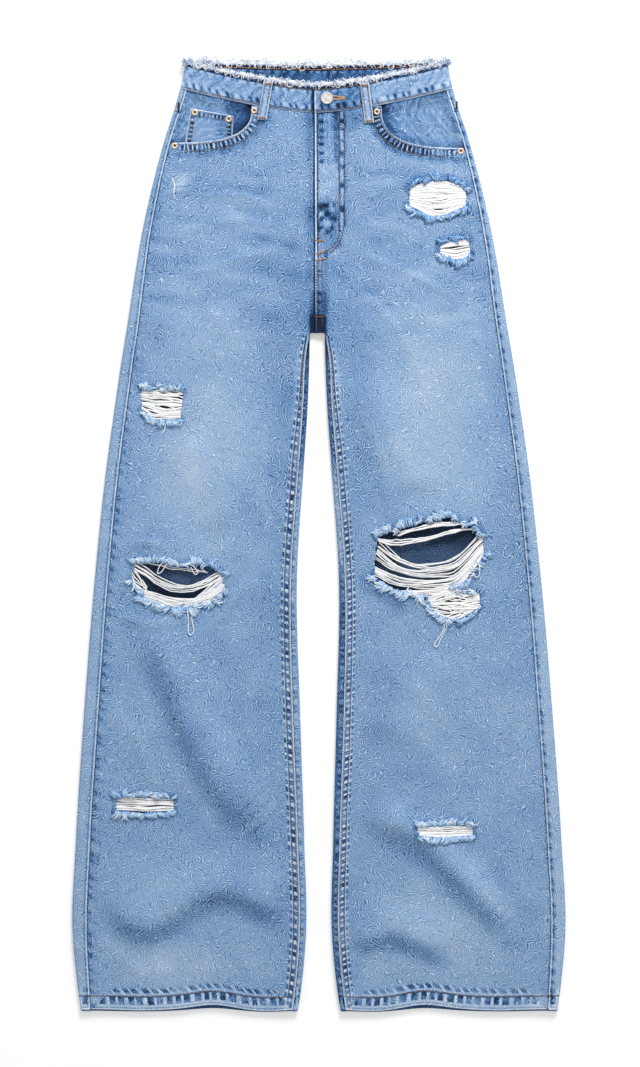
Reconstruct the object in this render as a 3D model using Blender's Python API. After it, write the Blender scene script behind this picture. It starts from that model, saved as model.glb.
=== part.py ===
"""High-waisted wide-leg jeans with ripped fronts and a raw waist edge, laid flat and face up.

+Y runs from the hems to the waist, +Z is up, and +X is the wearer's left. The origin is at the
bottom centre of the garment. Plans are drawn in millimetres: x across from the centre line, and
down from the top of the frayed waist edge. The cloth lies in layers: seat pockets and back belt
loops on the floor, the back panels over them, and the front panels over the back panels, which
roll round both edges of each leg to meet the fronts at the side seam and the inseam.
"""

import math

import bmesh
import bpy
import numpy as np
from mathutils.bvhtree import BVHTree

MM = 0.001  # metres in a millimetre

# Cloth
CLOTH = 1.0  # one layer of denim
BAND_CLOTH = 2.2  # the waistband, folded double
SEAM_GAP = 0.3  # between two pieces that are sewn together
LAYER = CLOTH + SEAM_GAP  # what one more layer adds to the height

# Lengths down the garment
BACK_HEM_DOWN = 1099.0
FRONT_HEM_DOWN = 1096.0
HEM_DEPTH = 17.0
HEM_TOP_DOWN = FRONT_HEM_DOWN - HEM_DEPTH
HEM_THICKNESS = 2.0
CROTCH_DOWN = 317.0
CROTCH_OPENING = 6.0  # over this length below the crotch the two legs part
LEAST_HALF_GAP = 8.6  # between the legs, just below the crotch
WIDEST_DOWN = 1012.0
FRAY_REACH = 9.0
LEAN = 2.9  # how far the waist lies off the centre line of the hems

# Waist
WAIST_EDGE_SIDE = 9.5
WAIST_SEAM_SIDE = 40.0
WAIST_HALF_WIDTH = 156.5
FRONT_WAIST_DIP = 27.5
BACK_WAIST_DIP = 7.0
WAIST_DIP_POWER = 1.4
TOP_DOWN = WAIST_EDGE_SIDE - FRAY_REACH
MID_DOWN = (TOP_DOWN + BACK_HEM_DOWN) / 2

# Layering
ROLL_HEIGHT = 6.2  # the two layers at a rolled edge, outside to outside
ROLL_WIDTH = 3.1
BAND_LEVEL = LAYER + ROLL_HEIGHT + 0.1  # the waistband's upper face on the front
BAND_LAP = BAND_CLOTH + SEAM_GAP
BAND_LAP_START = 40.0  # x where the lapped end starts to rise over the underlap
BAND_LAP_SLOPE = 22.0
SEAT_LIFT_END = 300.0  # above this level the backs lie on the seat pockets and back belt loops
SEAT_LIFT_SLOPE = 90.0
SLUMP = 1.2  # how much lower the cloth lies inside the leg than at its rolled edges
SLUMP_START = 130.0
SLUMP_SLOPE = 100.0
SLUMP_MARGIN = 35.0
CROTCH_DIP = 2.0
CROTCH_DIP_WIDTH = 15.0
CROTCH_DIP_LENGTH = 24.0
FOLD_MARGIN = 5.0  # folds fade out towards the edges of a leg
FOLD_MARGIN_SLOPE = 28.0
FOLD_END = 0.22  # share of a crest's length over which it rises at each end
FOLD_POINTS = 25
FLY_LAP = 2.5  # how far the left front's edge passes the centre line, over the right front
FLY_UNDERLAP = 6.0  # how far the right front passes it, under the left front
FLY_RISE_X = 24.0  # the left front lies one layer up from its edge to here
FLY_RISE_SLOPE = 14.0
FLY_RISE_END = 326.0
FLY_RISE_END_SLOPE = 24.0
CENTRE_BACK_HALF_GAP = SEAM_GAP / 2
SEAT_FLOOR_END = 14.0
INSEAM_FIRST_CURL = 0.35  # how far the back's inner edge has turned up just below the crotch
INSEAM_CURL_LENGTH = 27.0  # over this length it turns up the whole way
INSEAM_LIP = 0.4
INSEAM_STRIP_CURL = 0.75  # from this much of the turn on, the strip on top grows

# One row for each level: down, half width, half of the gap between the legs, and how far the
# side seam and the inseam lie in from the rolled edges, on top.
OUTLINE = (
    # down, half width, half gap, side strip, inseam strip
    (WAIST_EDGE_SIDE, 150.0, 0.0, 8.0, 0.5),
    (WAIST_SEAM_SIDE, WAIST_HALF_WIDTH, 0.0, 8.0, 0.5),
    (98.0, 174.8, 0.0, 7.5, 0.5),
    (190.0, 197.8, 0.0, 9.5, 0.5),
    (CROTCH_DOWN + CROTCH_OPENING, 220.0, LEAST_HALF_GAP, 13.0, 0.5),
    (350.0, 224.6, 9.2, 13.4, 3.8),
    (397.0, 231.7, 10.9, 14.0, 4.5),
    (466.0, 241.5, 15.5, 14.5, 5.0),
    (604.0, 256.5, 24.2, 15.5, 6.0),
    (765.0, 269.7, 20.7, 16.5, 7.5),
    (903.0, 278.9, 16.7, 16.5, 6.5),
    (WIDEST_DOWN, 283.0, 15.0, 16.5, 6.5),
    (1064.0, 278.3, 19.5, 14.0, 6.0),
    (BACK_HEM_DOWN, 274.0, 24.5, 11.5, 5.5),
)
DOWN, HALF_WIDTH, HALF_GAP, SIDE_STRIP, INSEAM_STRIP = range(5)

# The largest folds of the fronts: the crest as points (x, down), the height, and the widths of
# the side to the right of the crest's direction and of the side to its left.
FOLDS = (
    # crest, height, right width, left width
    (((-184, 655), (-160, 690), (-134, 757), (-113, 803), (-80, 856), (-40, 903)), 8.5, 19.0, 40.0),
    (((-262, 922), (-213, 989), (-136, 958), (-75, 964), (-28, 992)), 7.5, 16.0, 34.0),
    (((-150, 430), (-127, 489), (-106, 552)), 3.0, 24.0, 24.0),
    (((32, 368), (95, 454), (118, 512)), 3.5, 20.0, 34.0),
    (((135, 679), (85, 802)), 3.5, 26.0, 36.0),
    (((66, 872), (135, 893), (187, 947), (246, 1008)), 8.0, 15.0, 20.0),
    (((36, 1020), (94, 996), (160, 1024)), 5.5, 15.0, 26.0),
    (((-200, 600), (-120, 590)), 2.5, 60.0, 60.0),
    (((80, 570), (180, 570)), 3.0, 60.0, 60.0),
)

# The front hem's soft waves: centre x of each leg, half width, how far down it hangs
HEM_WAVES = ((126.0, 36.0, -5.0), (55.0, 30.0, 2.0))

# Front pockets: the mouth is a quarter of a superellipse about a centre at the side seam.
POCKET_MOUTHS = {"right": (-166.0, 41.5), "left": (168.0, 47.5)}  # centre x, depth
POCKET_MOUTH_TOP = 60.0
POCKET_MOUTH_EDGE = 74.5  # x of the mouth's inner end
POCKET_MOUTH_POWER = 2.8
POCKET_MOUTH_STEPS = 13
FACING_EDGE = 62.0
FACING_DOWN = 122.0
FACING_DEPTH = 3.6  # the pocket facing below the front's upper face
FACING_WAIST_SLOPE = 14.0
FACING_SIDE_SLOPE = 12.0
FACING_UNDER_START = 0.75  # mouth share from which the facing dips under the front
FACING_UNDER_SLOPE = 0.2
FACING_ROWS = 7
FACING_COLUMNS = (0, 0.06, 0.12, 0.3, 0.5, 0.7, 0.85, 1.0)

# Rips: centre (x, down), then the upper and the lower edge from right to left of the wearer,
# as points about that centre.
RIPS = {
    "thigh_right": (
        (-178.8, 400.8),
        ((-24, -17), (0, -16), (24, -13.5)),
        ((-23, 9), (-10, 17), (5, 20), (21, 18)),
    ),
    "knee_right": (
        (-160.5, 609.5),
        ((-51, -24), (-32, -26), (2, -22), (42, -18), (50, -11)),
        ((-53, -6), (-46, 8), (-30, 19), (5, 26), (31, 22), (47, 14), (53, 4)),
    ),
    "shin_right": (
        (-199.4, 862.0),
        ((-34, -8), (0, -9), (33, -7)),
        ((-33, 6), (-10, 8.5), (15, 8.5), (34, 7)),
    ),
    "hip_left": (
        (139.3, 166.2),
        ((-31, -10), (-20, -17), (8, -21.5), (28, -13)),
        ((-33, 2), (-24, 13), (4, 21), (26, 13), (33, -2)),
    ),
    "hip_left_small": (
        (158.6, 224.3),
        ((-16, -1), (-10, -7), (16, -11)),
        ((-15, 4), (-6, 11), (8, 9), (17, 4)),
    ),
    "knee_left": (
        (129.5, 575.0),
        ((-61, -21), (-44, -28), (-24, -33), (9, -41), (34, -40), (55, -31), (61, -20)),
        ((-65, 24), (-48, 36), (-22, 44), (-5, 46), (16, 43), (34, 33), (52, 17), (61, -2)),
    ),
    "knee_left_lower": (
        (155.7, 633.7),
        ((-29, -6), (-15, -8), (8, -10.5), (30, -13)),
        ((-24, 3), (-15, 11), (2, 15), (20, 9), (30, 1)),
    ),
    "shin_left": (
        (145.8, 892.7),
        ((-32, -5.3), (-3, -6.8), (31, -6.1)),
        ((-31, 4.4), (-9, 6.6), (13, 6.1), (32, 5.2)),
    ),
}
# Where the weft threads of a knee sag open: the upper edge of the threads that still hang.
KNEE_SAGS = {
    "knee_right": ((-47, -23), (-21, -8), (5, 0), (25, -2), (46, -12)),
    "knee_left": ((-56, -19), (-34, -5), (-5, 6), (23, 1), (44, -14), (55, -28)),
}
KNEE_TOP_THREADS = ((-30, -19), (-10, -15), (5, -17), (35, -28))
KNEE_TOP_HALF = 40.0  # the upper threads of the left knee reach this far from its centre
RIP_SOLVER = "MANIFOLD"  # EXACT loses the whole panel at the narrow slit of a shin
WEFT_THICKNESS = 0.8
WEFT_INSET = 0.88
WEFT_DROP = 0.9  # the upper face of the threads below the upper face of the cloth
RIP_FRAY_REACH = 7.5
RIP_FRAY_OVERHANG = 4.0
RIP_FRAY_THICKNESS = 1.6
RIP_FRAY_LIFT = 0.7
RIP_FRAY_STEP = 14.0
RIP_FRAY_START = 0.6  # from the torn edge to the strip
RIP_FRAY_PROBES = (-6.0, -3.0, 0.0, 3.0, 6.0)  # beside each point, where the cloth's height is read
FRAY_BELOW_ONLY = ("knee_left_lower",)  # its upper edge lies under the fray of the knee above it

# Small pieces on the fronts, as (x, down)
COIN_POCKET_GAP = 0.35
COIN_POCKET = ((-144.8, 61.8), (-95.2, 70.6), (-98.0, 108.0), (-152.5, 108.0))
RIVETS = {
    "rivet_mouth_right": (-71.8, 64.5),
    "rivet_side_right": (-163.0, 105.0),
    "rivet_mouth_left": (69.2, 66.0),
    "rivet_side_left": (165.5, 111.0),
    "rivet_coin_right": (-140.0, 66.5),
    "rivet_coin_left": (-101.0, 74.0),
}
RIVET_PROFILE = ((0, 0), (3.4, 0), (3.6, 0.6), (2.8, 1.3), (1.5, 0.9), (0, 0.9))  # radius, height
RIVET_STEPS = 12
BUTTON_PLACE = (11.8, 51.0)
BUTTON_PROFILE = ((0, 0), (5.4, 0), (6.6, 0.7), (6.9, 1.4), (6.2, 2.1), (4.5, 2.5), (0, 2.8))
BUTTON_STEPS = 20
SHARP_ANGLE = 35
LOOP_WIDTH = 11.0
LOOP_THICKNESS = 1.2
FRONT_LOOPS = {
    "belt_loop_front_right": ((-55.4, 31.5), (-62.9, 75.5)),
    "belt_loop_front_left": ((54.8, 33.0), (60.5, 79.0)),
}
BACK_LOOP_START = 1.0  # below the raw edge
BACK_LOOP_LENGTH = 48.0
BACK_LOOPS = {"belt_loop_back_right": -92.0, "belt_loop_back_centre": 0.0, "belt_loop_back_left": 92.0}

# Back
YOKE_SIDE_DOWN = 66.0
YOKE_CENTRE_DOWN = 112.0
YOKE_HALF_WIDTH = 150.0
SEAT_POCKET_X = 92.0
SEAT_POCKET_TOP = 132.0
SEAT_POCKET_HALF_TOP = 68.0
SEAT_POCKET_HALF_FOOT = 60.0
SEAT_POCKET_FOOT = 125.0
SEAT_POCKET_POINT = 148.0

SIDES = {"right": -1, "left": 1}

# Rows of the leg panels, and columns of the fronts from side seam to inseam
PANEL_ROWS = (95, 130, 175, 225, 275, 305, CROTCH_DOWN, CROTCH_DOWN + CROTCH_OPENING, 336, 356,
              385, 425, 465, 505, 545, 585, 620, 645, 670, 695, 720, 745, 770, 795, 820, 845, 870,
              895, 918, 940, 962, 984, 1006, 1030, 1054, HEM_TOP_DOWN)
FRONT_COLUMNS = (0, 0.06, 0.14, 0.24, 0.35, 0.46, 0.57, 0.68, 0.79, 0.88, 0.95, 1)
WAIST_ROW = 68.0
WAIST_CURVE_FADE = 80.0  # the fronts' rows follow the waist seam, less and less, down to here
BACK_CURVE_FADE = 90.0
HEM_CURVE_START = 1006.0
CURVE_PASSES = 4
HEM_STEP = 2.0
ROLL_STEPS = 2
FLOOR_STEPS = 2
BAND_FRONT_SHARES = (0.13, 0.2, 0.28, 0.38, 0.5, 0.65, 0.8, 0.92)
BAND_BACK_SHARES = (-0.85, 9)  # from here to the other side, in that many steps
BAND_ROLL_STEPS = 7
WAIST_FRAY_THICKNESS = 1.8
CLEAR_BELOW, CLEAR_ABOVE = -5.0, 60.0  # a cutter reaches from below the garment to above it
MOUTH_CUTTER_MARGIN = 40.0
MOUTH_CUTTER_TOP = 10.0


# ---------------------------------------------------------------- plan and heights


def ease(t):
    """0 before 0, 1 after 1, and a smooth S between."""
    t = np.clip(t, 0.0, 1.0)
    return t * t * (3 - 2 * t)


def through(stations, values, at):
    """A smooth curve through (station, value) pairs, flat-sloped by central differences."""
    stations = np.asarray(stations, float)
    values = np.asarray(values, float)
    slopes = np.gradient(values, stations)
    at = np.clip(at, stations[0], stations[-1])
    i = np.clip(np.searchsorted(stations, at) - 1, 0, len(stations) - 2)
    width = stations[i + 1] - stations[i]
    t = (at - stations[i]) / width
    start = (1 + 2 * t) * (1 - t) ** 2 * values[i] + t * (1 - t) ** 2 * width * slopes[i]
    end = t * t * (3 - 2 * t) * values[i + 1] - t * t * (1 - t) * width * slopes[i + 1]
    return start + end


def outline(column, down):
    """A column of OUTLINE at that level."""
    table = np.array(OUTLINE)
    return through(table[:, DOWN], table[:, column], np.asarray(down, float))


def half_gap(down):
    """Half of the gap between the legs; nothing above the crotch."""
    parted = ease((np.asarray(down, float) - CROTCH_DOWN) / CROTCH_OPENING)
    return parted * np.maximum(outline(HALF_GAP, down), LEAST_HALF_GAP)


def waist_dip(share):
    """1 at the centre of the waist and 0 at its side folds; share is that of the half width."""
    return 1 - np.clip(np.abs(share), 0, 1) ** WAIST_DIP_POWER


def front_waist_seam(x):
    return WAIST_SEAM_SIDE + FRONT_WAIST_DIP * waist_dip(x / WAIST_HALF_WIDTH)


def back_waist_seam(x):
    return WAIST_SEAM_SIDE + BACK_WAIST_DIP * waist_dip(x / WAIST_HALF_WIDTH)


def yoke_seam(x):
    share = np.clip(np.abs(x) / YOKE_HALF_WIDTH, 0, 1)
    return YOKE_CENTRE_DOWN - (YOKE_CENTRE_DOWN - YOKE_SIDE_DOWN) * share


def hem_wave(x):
    """How far down the front hem hangs at x, below its straight line."""
    return sum(hang * np.exp(-(((np.abs(x) - centre) / width) ** 2)) for centre, width, hang in HEM_WAVES)


def seat_lift(down):
    """The back panels lie one layer up over the seat pockets and loops, and on the floor below."""
    return LAYER * (1 - ease((np.asarray(down, float) - SEAT_LIFT_END) / SEAT_LIFT_SLOPE))


def fold_height(x, down):
    """All FOLDS together: each a crest whose height fades with the distance to each side of it."""
    x, down = np.broadcast_arrays(np.asarray(x, float), np.asarray(down, float))
    total = np.zeros(x.shape)
    for crest, height, right_width, left_width in FOLDS:
        points = np.array(crest, float)
        steps = np.arange(len(points))
        t = np.linspace(0, steps[-1], FOLD_POINTS)
        line = np.stack([through(steps, points[:, 0], t), through(steps, points[:, 1], t)], 1)
        way = np.gradient(line, axis=0)
        off = np.stack([x, down], -1)[..., None, :] - line
        far = np.sqrt((off**2).sum(-1))
        nearest = far.argmin(-1)
        near = np.take_along_axis(far, nearest[..., None], -1)[..., 0]
        offset = np.take_along_axis(off, nearest[..., None, None], -2)[..., 0, :]
        to_right = way[nearest][..., 0] * offset[..., 1] - way[nearest][..., 1] * offset[..., 0] > 0
        width = np.where(to_right, right_width, left_width)
        share = nearest / (len(line) - 1)
        ends = ease(share / FOLD_END) * ease((1 - share) / FOLD_END)
        total += height * ends * np.exp(-((near / width) ** 2))
    return total


def lap_lift(side, x, down):
    """The left front lies one layer up where it laps over the right front at the centre."""
    if side == "right":
        return 0.0 * np.asarray(x, float)
    across = ease((FLY_RISE_X - x) / FLY_RISE_SLOPE)
    return LAYER * across * (1 - ease((down - FLY_RISE_END) / FLY_RISE_END_SLOPE))


def front_level(side, x, down):
    """Height of the front cloth's upper face."""
    x, down = np.asarray(x, float), np.asarray(down, float)
    from_side = outline(HALF_WIDTH, down) - np.abs(x)
    from_gap = np.where(down > CROTCH_DOWN, np.abs(x) - half_gap(down), from_side)
    inside = np.minimum(from_side, from_gap)
    slump = SLUMP * ease((down - SLUMP_START) / SLUMP_SLOPE) * ease((inside - ROLL_WIDTH) / SLUMP_MARGIN)
    to_crotch = (x / CROTCH_DIP_WIDTH) ** 2 + ((down - CROTCH_DOWN) / CROTCH_DIP_LENGTH) ** 2
    folds = fold_height(x, down) * ease((inside - FOLD_MARGIN) / FOLD_MARGIN_SLOPE)
    rest = seat_lift(down) + ROLL_HEIGHT - slump - CROTCH_DIP * np.exp(-to_crotch)
    return rest + folds + lap_lift(side, x, down)


def mouth_share(side, x, down):
    """Below 1 inside the pocket mouth, and above 1 where the front panel covers the facing."""
    centre, depth = POCKET_MOUTHS[side]
    across = np.maximum((abs(centre) - np.abs(x)) / (abs(centre) - POCKET_MOUTH_EDGE), 0)
    along = np.maximum((down - POCKET_MOUTH_TOP) / depth, 0)
    return across**POCKET_MOUTH_POWER + along**POCKET_MOUTH_POWER


def facing_level(side, x, down):
    """The pocket facing lies deep in the mouth and comes up to the seams that hold it."""
    to_waist = down - front_waist_seam(x)
    to_side = outline(HALF_WIDTH, down) - outline(SIDE_STRIP, down) - np.abs(x)
    open_depth = ease(to_waist / FACING_WAIST_SLOPE) * ease(to_side / FACING_SIDE_SLOPE)
    under_front = ease((mouth_share(side, x, down) - FACING_UNDER_START) / FACING_UNDER_SLOPE)
    return front_level(side, x, down) - FACING_DEPTH * np.maximum(open_depth, under_front)


def place(x, down, z):
    """Plan coordinates to metres in the garment's frame, with the slight lean of the waist."""
    x, down, z = np.broadcast_arrays(np.asarray(x, float), np.asarray(down, float), np.asarray(z, float))
    lean = -LEAN * (1 - down / WIDEST_DOWN)
    return np.stack([x + lean, MID_DOWN - down, z], -1) * MM


# ---------------------------------------------------------------- meshes


def material(name, colour, roughness, metallic=0.0):
    made = bpy.data.materials.new(name)
    made.use_nodes = True
    shader = made.node_tree.nodes["Principled BSDF"]
    shader.inputs["Base Color"].default_value = (*colour, 1)
    shader.inputs["Roughness"].default_value = roughness
    shader.inputs["Metallic"].default_value = metallic
    return made


def new_object(name, verts, faces, look):
    """A closed mesh object with its faces pointing out."""
    mesh = bpy.data.meshes.new(name)
    mesh.from_pydata([tuple(v) for v in verts], [], faces)
    made = bmesh.new()
    made.from_mesh(mesh)
    bmesh.ops.recalc_face_normals(made, faces=made.faces)
    made.to_mesh(mesh)
    made.free()
    if look:
        mesh.materials.append(look)
    obj = bpy.data.objects.new(name, mesh)
    bpy.context.scene.collection.objects.link(obj)
    return obj


def grid_faces(rows, columns, start=0):
    return [
        (start + r * columns + c, start + r * columns + c + 1,
         start + (r + 1) * columns + c + 1, start + (r + 1) * columns + c)
        for r in range(rows - 1)
        for c in range(columns - 1)
    ]


def wall(name, outer, inner, look):
    """A wall between two grids of points of the same size, closed along its four edges."""
    rows, columns = outer.shape[:2]
    count = rows * columns
    verts = np.concatenate([outer.reshape(-1, 3), inner.reshape(-1, 3)])
    faces = grid_faces(rows, columns) + [f[::-1] for f in grid_faces(rows, columns, count)]
    rim = (
        [c for c in range(columns)]
        + [r * columns + columns - 1 for r in range(1, rows)]
        + [(rows - 1) * columns + c for c in range(columns - 2, -1, -1)]
        + [r * columns for r in range(rows - 2, 0, -1)]
    )
    for a, b in zip(rim, rim[1:] + rim[:1]):
        faces.append((b, a, a + count, b + count))
    return new_object(name, verts, faces, look)


def prism(name, outline_points, bottom, top, look=None):
    """An upright block on a plan outline; bottom and top are heights, one or one for each point."""
    points = np.array(outline_points, float)
    count = len(points)
    low = place(points[:, 0], points[:, 1], bottom)
    high = place(points[:, 0], points[:, 1], top)
    faces = [tuple(range(count)), tuple(range(2 * count - 1, count - 1, -1))]
    faces += [(i, (i + 1) % count, (i + 1) % count + count, i + count) for i in range(count)]
    return new_object(name, np.concatenate([low, high]), faces, look)


def turned(name, profile, centre, base, look, steps):
    """A round piece: profile is (radius, height), from the axis below to the axis above."""
    inner = profile[1:-1]
    x, down = centre
    verts = [place(x, down, base + profile[0][1])]
    for radius, height in inner:
        for i in range(steps):
            angle = 2 * math.pi * i / steps
            across, along = radius * math.cos(angle), radius * math.sin(angle)
            verts.append(place(x + across, down + along, base + height))
    verts.append(place(x, down, base + profile[-1][1]))
    last = len(verts) - 1
    faces = [(0, 1 + (i + 1) % steps, 1 + i) for i in range(steps)]
    for ring in range(len(inner) - 1):
        a = 1 + ring * steps
        b = a + steps
        faces += [(a + i, a + (i + 1) % steps, b + (i + 1) % steps, b + i) for i in range(steps)]
    a = 1 + (len(inner) - 1) * steps
    faces += [(a + i, a + (i + 1) % steps, last) for i in range(steps)]
    made = new_object(name, verts, faces, look)
    made.data.shade_smooth()
    made.data.set_sharp_from_angle(angle=math.radians(SHARP_ANGLE))
    return made


def cut(target, cutter, solver="EXACT"):
    """Takes the cutter's shape out of the target with a Boolean."""
    cutter.hide_render = True
    cutter.display_type = "WIRE"
    modifier = target.modifiers.new("cut_" + cutter.name, "BOOLEAN")
    modifier.operation = "DIFFERENCE"
    modifier.solver = solver
    modifier.object = cutter


# ---------------------------------------------------------------- front panels


def front_centre_x(side, down):
    """The front's inner edge, measured towards the leg's own side: past the centre line above the
    crotch, and at the inseam below it."""
    past_centre = FLY_LAP if side == "left" else FLY_UNDERLAP
    inseam = half_gap(down) + outline(INSEAM_STRIP, down) + SEAM_GAP
    return np.where(down <= CROTCH_DOWN, -past_centre, inseam)


def front_plan(side):
    """The x and down of the front's grid points: rows follow the waist seam, then straighten,
    and the last ones follow the wave of the hem. x is measured towards the leg's own side."""
    rows = np.array((WAIST_ROW, *PANEL_ROWS, HEM_TOP_DOWN + HEM_STEP, FRONT_HEM_DOWN), float)[:, None]
    share = np.array(FRONT_COLUMNS)[None, :]
    down = rows + 0 * share
    waist_share = np.clip(1 - (rows - rows[0]) / WAIST_CURVE_FADE, 0, 1)
    hem_share = ease((rows - HEM_CURVE_START) / (FRONT_HEM_DOWN - HEM_CURVE_START))
    for _ in range(CURVE_PASSES):
        outer = outline(HALF_WIDTH, down) - outline(SIDE_STRIP, down) - SEAM_GAP
        x = outer + share * (front_centre_x(side, down) - outer)
        at_waist = (front_waist_seam(x) + SEAM_GAP - rows[0]) * waist_share
        down = rows + at_waist + hem_wave(x) * hem_share
    return x, down


def front_panel(side, look):
    """A front leg panel: its upper face follows front_level, its lower face is a cloth below."""
    x, down = front_plan(side)
    signed = x * SIDES[side]
    upper = front_level(side, signed, down)
    upper[-2:] += HEM_THICKNESS - CLOTH
    lower = front_level(side, signed, down) - CLOTH
    panel = wall("front_" + side, place(signed, down, upper), place(signed, down, lower), look)
    cut(panel, pocket_mouth_cutter(side))
    return panel


def pocket_mouth_cutter(side):
    """The front's upper outer corner, cut away along the quarter superellipse of the mouth."""
    centre, depth = POCKET_MOUTHS[side]
    turn = np.linspace(0, math.pi / 2, POCKET_MOUTH_STEPS)
    reach = abs(centre) - POCKET_MOUTH_EDGE
    x = abs(centre) - reach * np.cos(turn) ** (2 / POCKET_MOUTH_POWER)
    down = POCKET_MOUTH_TOP + depth * np.sin(turn) ** (2 / POCKET_MOUTH_POWER)
    x = np.append(x, [abs(centre) + MOUTH_CUTTER_MARGIN] * 2 + [x[0]]) * SIDES[side]
    down = np.append(down, [down[-1], MOUTH_CUTTER_TOP, MOUTH_CUTTER_TOP])
    return prism("mouth_cutter_" + side, list(zip(x, down)), CLEAR_BELOW, CLEAR_ABOVE)


def upper_faces(panel):
    """The panel's upper grid as a search tree, to lay other pieces on."""
    rows, columns = front_plan("left")[0].shape
    points = [v.co.copy() for v in panel.data.vertices[: rows * columns]]
    return BVHTree.FromPolygons(points, grid_faces(rows, columns))


def height_on(tree, x, down):
    """Height in millimetres of the cloth at each plan point."""
    heights = []
    for point in place(x, down, CLEAR_ABOVE).reshape(-1, 3):
        hit = tree.ray_cast(point, (0, 0, -1))[0]
        heights.append(hit.z / MM)
    return np.array(heights).reshape(np.shape(x))


# ---------------------------------------------------------------- back panels


def back_section(side, down):
    """One section of a back panel, from the side seam on top, round the rolled side edge, along
    the floor, and either on to the centre back seam or round the inner edge up to the inseam.
    Each row holds x and height of the outer face, then x and height of the inner face."""
    low = float(seat_lift(down))
    edge = float(outline(HALF_WIDTH, down))
    rows = []

    def level(x):
        return float(front_level(side, x * SIDES[side], down))

    def roll(centre_x, outwards, angles):
        top = level(centre_x)
        middle, half = (top + low) / 2, (top - low) / 2
        for angle in angles:
            cosine, sine = math.cos(angle), math.sin(angle)
            out = (centre_x + outwards * ROLL_WIDTH * cosine, middle + half * sine)
            into = (centre_x + outwards * (ROLL_WIDTH - CLOTH) * cosine, middle + (half - CLOTH) * sine)
            rows.append(out + into)

    seam = edge - float(outline(SIDE_STRIP, down))
    rows.append((seam, level(seam), seam, level(seam) - CLOTH))
    half_turn = math.pi / 2
    roll(edge - ROLL_WIDTH, 1, np.linspace(half_turn, -half_turn, ROLL_STEPS * 2 + 1))
    floor_start = edge - ROLL_WIDTH
    at_seat = down <= CROTCH_DOWN
    floor_stop = SEAT_FLOOR_END if at_seat else float(half_gap(down)) + ROLL_WIDTH
    for share in np.linspace(0, 1, FLOOR_STEPS + 1)[1:-1]:
        x = floor_start + share * (floor_stop - floor_start)
        rows.append((x, low, x, low + CLOTH))
    if at_seat:
        for share in np.linspace(0, 1, ROLL_STEPS * 2 + 2):
            x = floor_stop + share * (CENTRE_BACK_HALF_GAP - floor_stop)
            rows.append((x, low, x, low + CLOTH))
        return rows
    # Below the crotch the inner edge curls up a little more at each level, to a half turn.
    opened = CROTCH_DOWN + CROTCH_OPENING
    curl = INSEAM_FIRST_CURL + (1 - INSEAM_FIRST_CURL) * float(ease((down - opened) / INSEAM_CURL_LENGTH))
    last = -half_turn + math.pi * curl
    roll(floor_stop, -1, np.linspace(-half_turn, last, ROLL_STEPS * 2 + 1))
    strip = half_gap(down) + outline(INSEAM_STRIP, down) - floor_stop
    grown = float(ease((curl - INSEAM_STRIP_CURL) / (1 - INSEAM_STRIP_CURL)))
    reach = INSEAM_LIP + (float(strip) - INSEAM_LIP) * grown
    step_x, step_z = reach * math.sin(last), reach * math.cos(last)
    end = rows[-1]
    drop = level(floor_stop) - level(floor_stop + step_x)
    rows.append((end[0] + step_x, end[1] + step_z - drop, end[2] + step_x, end[3] + step_z - drop))
    return rows


def back_grids(side, downs):
    """Outer and inner grids of a back piece with one section at each level."""
    outer, inner = [], []
    for down in downs:
        section = np.array(back_section(side, float(down)))
        outer.append(section[:, :2])
        inner.append(section[:, 2:])
    return np.array(outer), np.array(inner)


def back_piece(name, side, downs, edge_down, foot_down, look):
    """A back piece whose first and last rows may follow a curve: edge_down and foot_down give
    the level of those rows at each x, and rows between share the difference out."""
    outer, inner = back_grids(side, downs)
    nominal = np.array(downs, float)[:, None] + 0 * outer[..., 0]
    bend = np.clip(1 - (nominal - nominal[0]) / BACK_CURVE_FADE, 0, 1)
    foot = np.clip((nominal - nominal[0]) / (nominal[-1] - nominal[0]), 0, 1)

    def bent(x):
        if foot_down is not None:
            return edge_down(x) + foot * (foot_down(x) - edge_down(x))
        return nominal + (edge_down(x) - nominal[0]) * bend

    def points(grid):
        return place(grid[..., 0] * SIDES[side], bent(grid[..., 0]), grid[..., 1])

    return wall(name, points(outer), points(inner), look)


def back_panel(side, look):
    """From the yoke seam to the hem, with the hem turned up inside."""
    downs = (YOKE_SIDE_DOWN + SEAM_GAP, *PANEL_ROWS, BACK_HEM_DOWN)
    return back_piece("back_" + side, side, downs, lambda x: yoke_seam(x) + SEAM_GAP, None, look)


def yoke(side, look):
    """The shaped piece between the waistband and the back panel, deepest at the centre back."""
    def waist_edge(x):
        on_top = np.arange(x.shape[1]) < ROLL_STEPS
        return np.where(on_top, front_waist_seam(x), back_waist_seam(x)) + SEAM_GAP

    seam_x = outline(HALF_WIDTH, WAIST_SEAM_SIDE) - outline(SIDE_STRIP, WAIST_SEAM_SIDE)
    top = float(front_waist_seam(seam_x)) + SEAM_GAP
    downs = (top, (top + YOKE_SIDE_DOWN) / 2, YOKE_SIDE_DOWN)
    return back_piece("yoke_" + side, side, downs, waist_edge, yoke_seam, look)


def seat_pocket(side, look):
    """A five-sided patch pocket under the back panel, flat on the floor."""
    centre = SEAT_POCKET_X * SIDES[side]
    points = (
        (centre - SEAT_POCKET_HALF_TOP, SEAT_POCKET_TOP), (centre + SEAT_POCKET_HALF_TOP, SEAT_POCKET_TOP),
        (centre + SEAT_POCKET_HALF_FOOT, SEAT_POCKET_TOP + SEAT_POCKET_FOOT),
        (centre, SEAT_POCKET_TOP + SEAT_POCKET_POINT),
        (centre - SEAT_POCKET_HALF_FOOT, SEAT_POCKET_TOP + SEAT_POCKET_FOOT),
    )
    return prism("seat_pocket_" + side, points, 0.0, CLOTH, look)


# ---------------------------------------------------------------- waistband and its frayed edge


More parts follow.
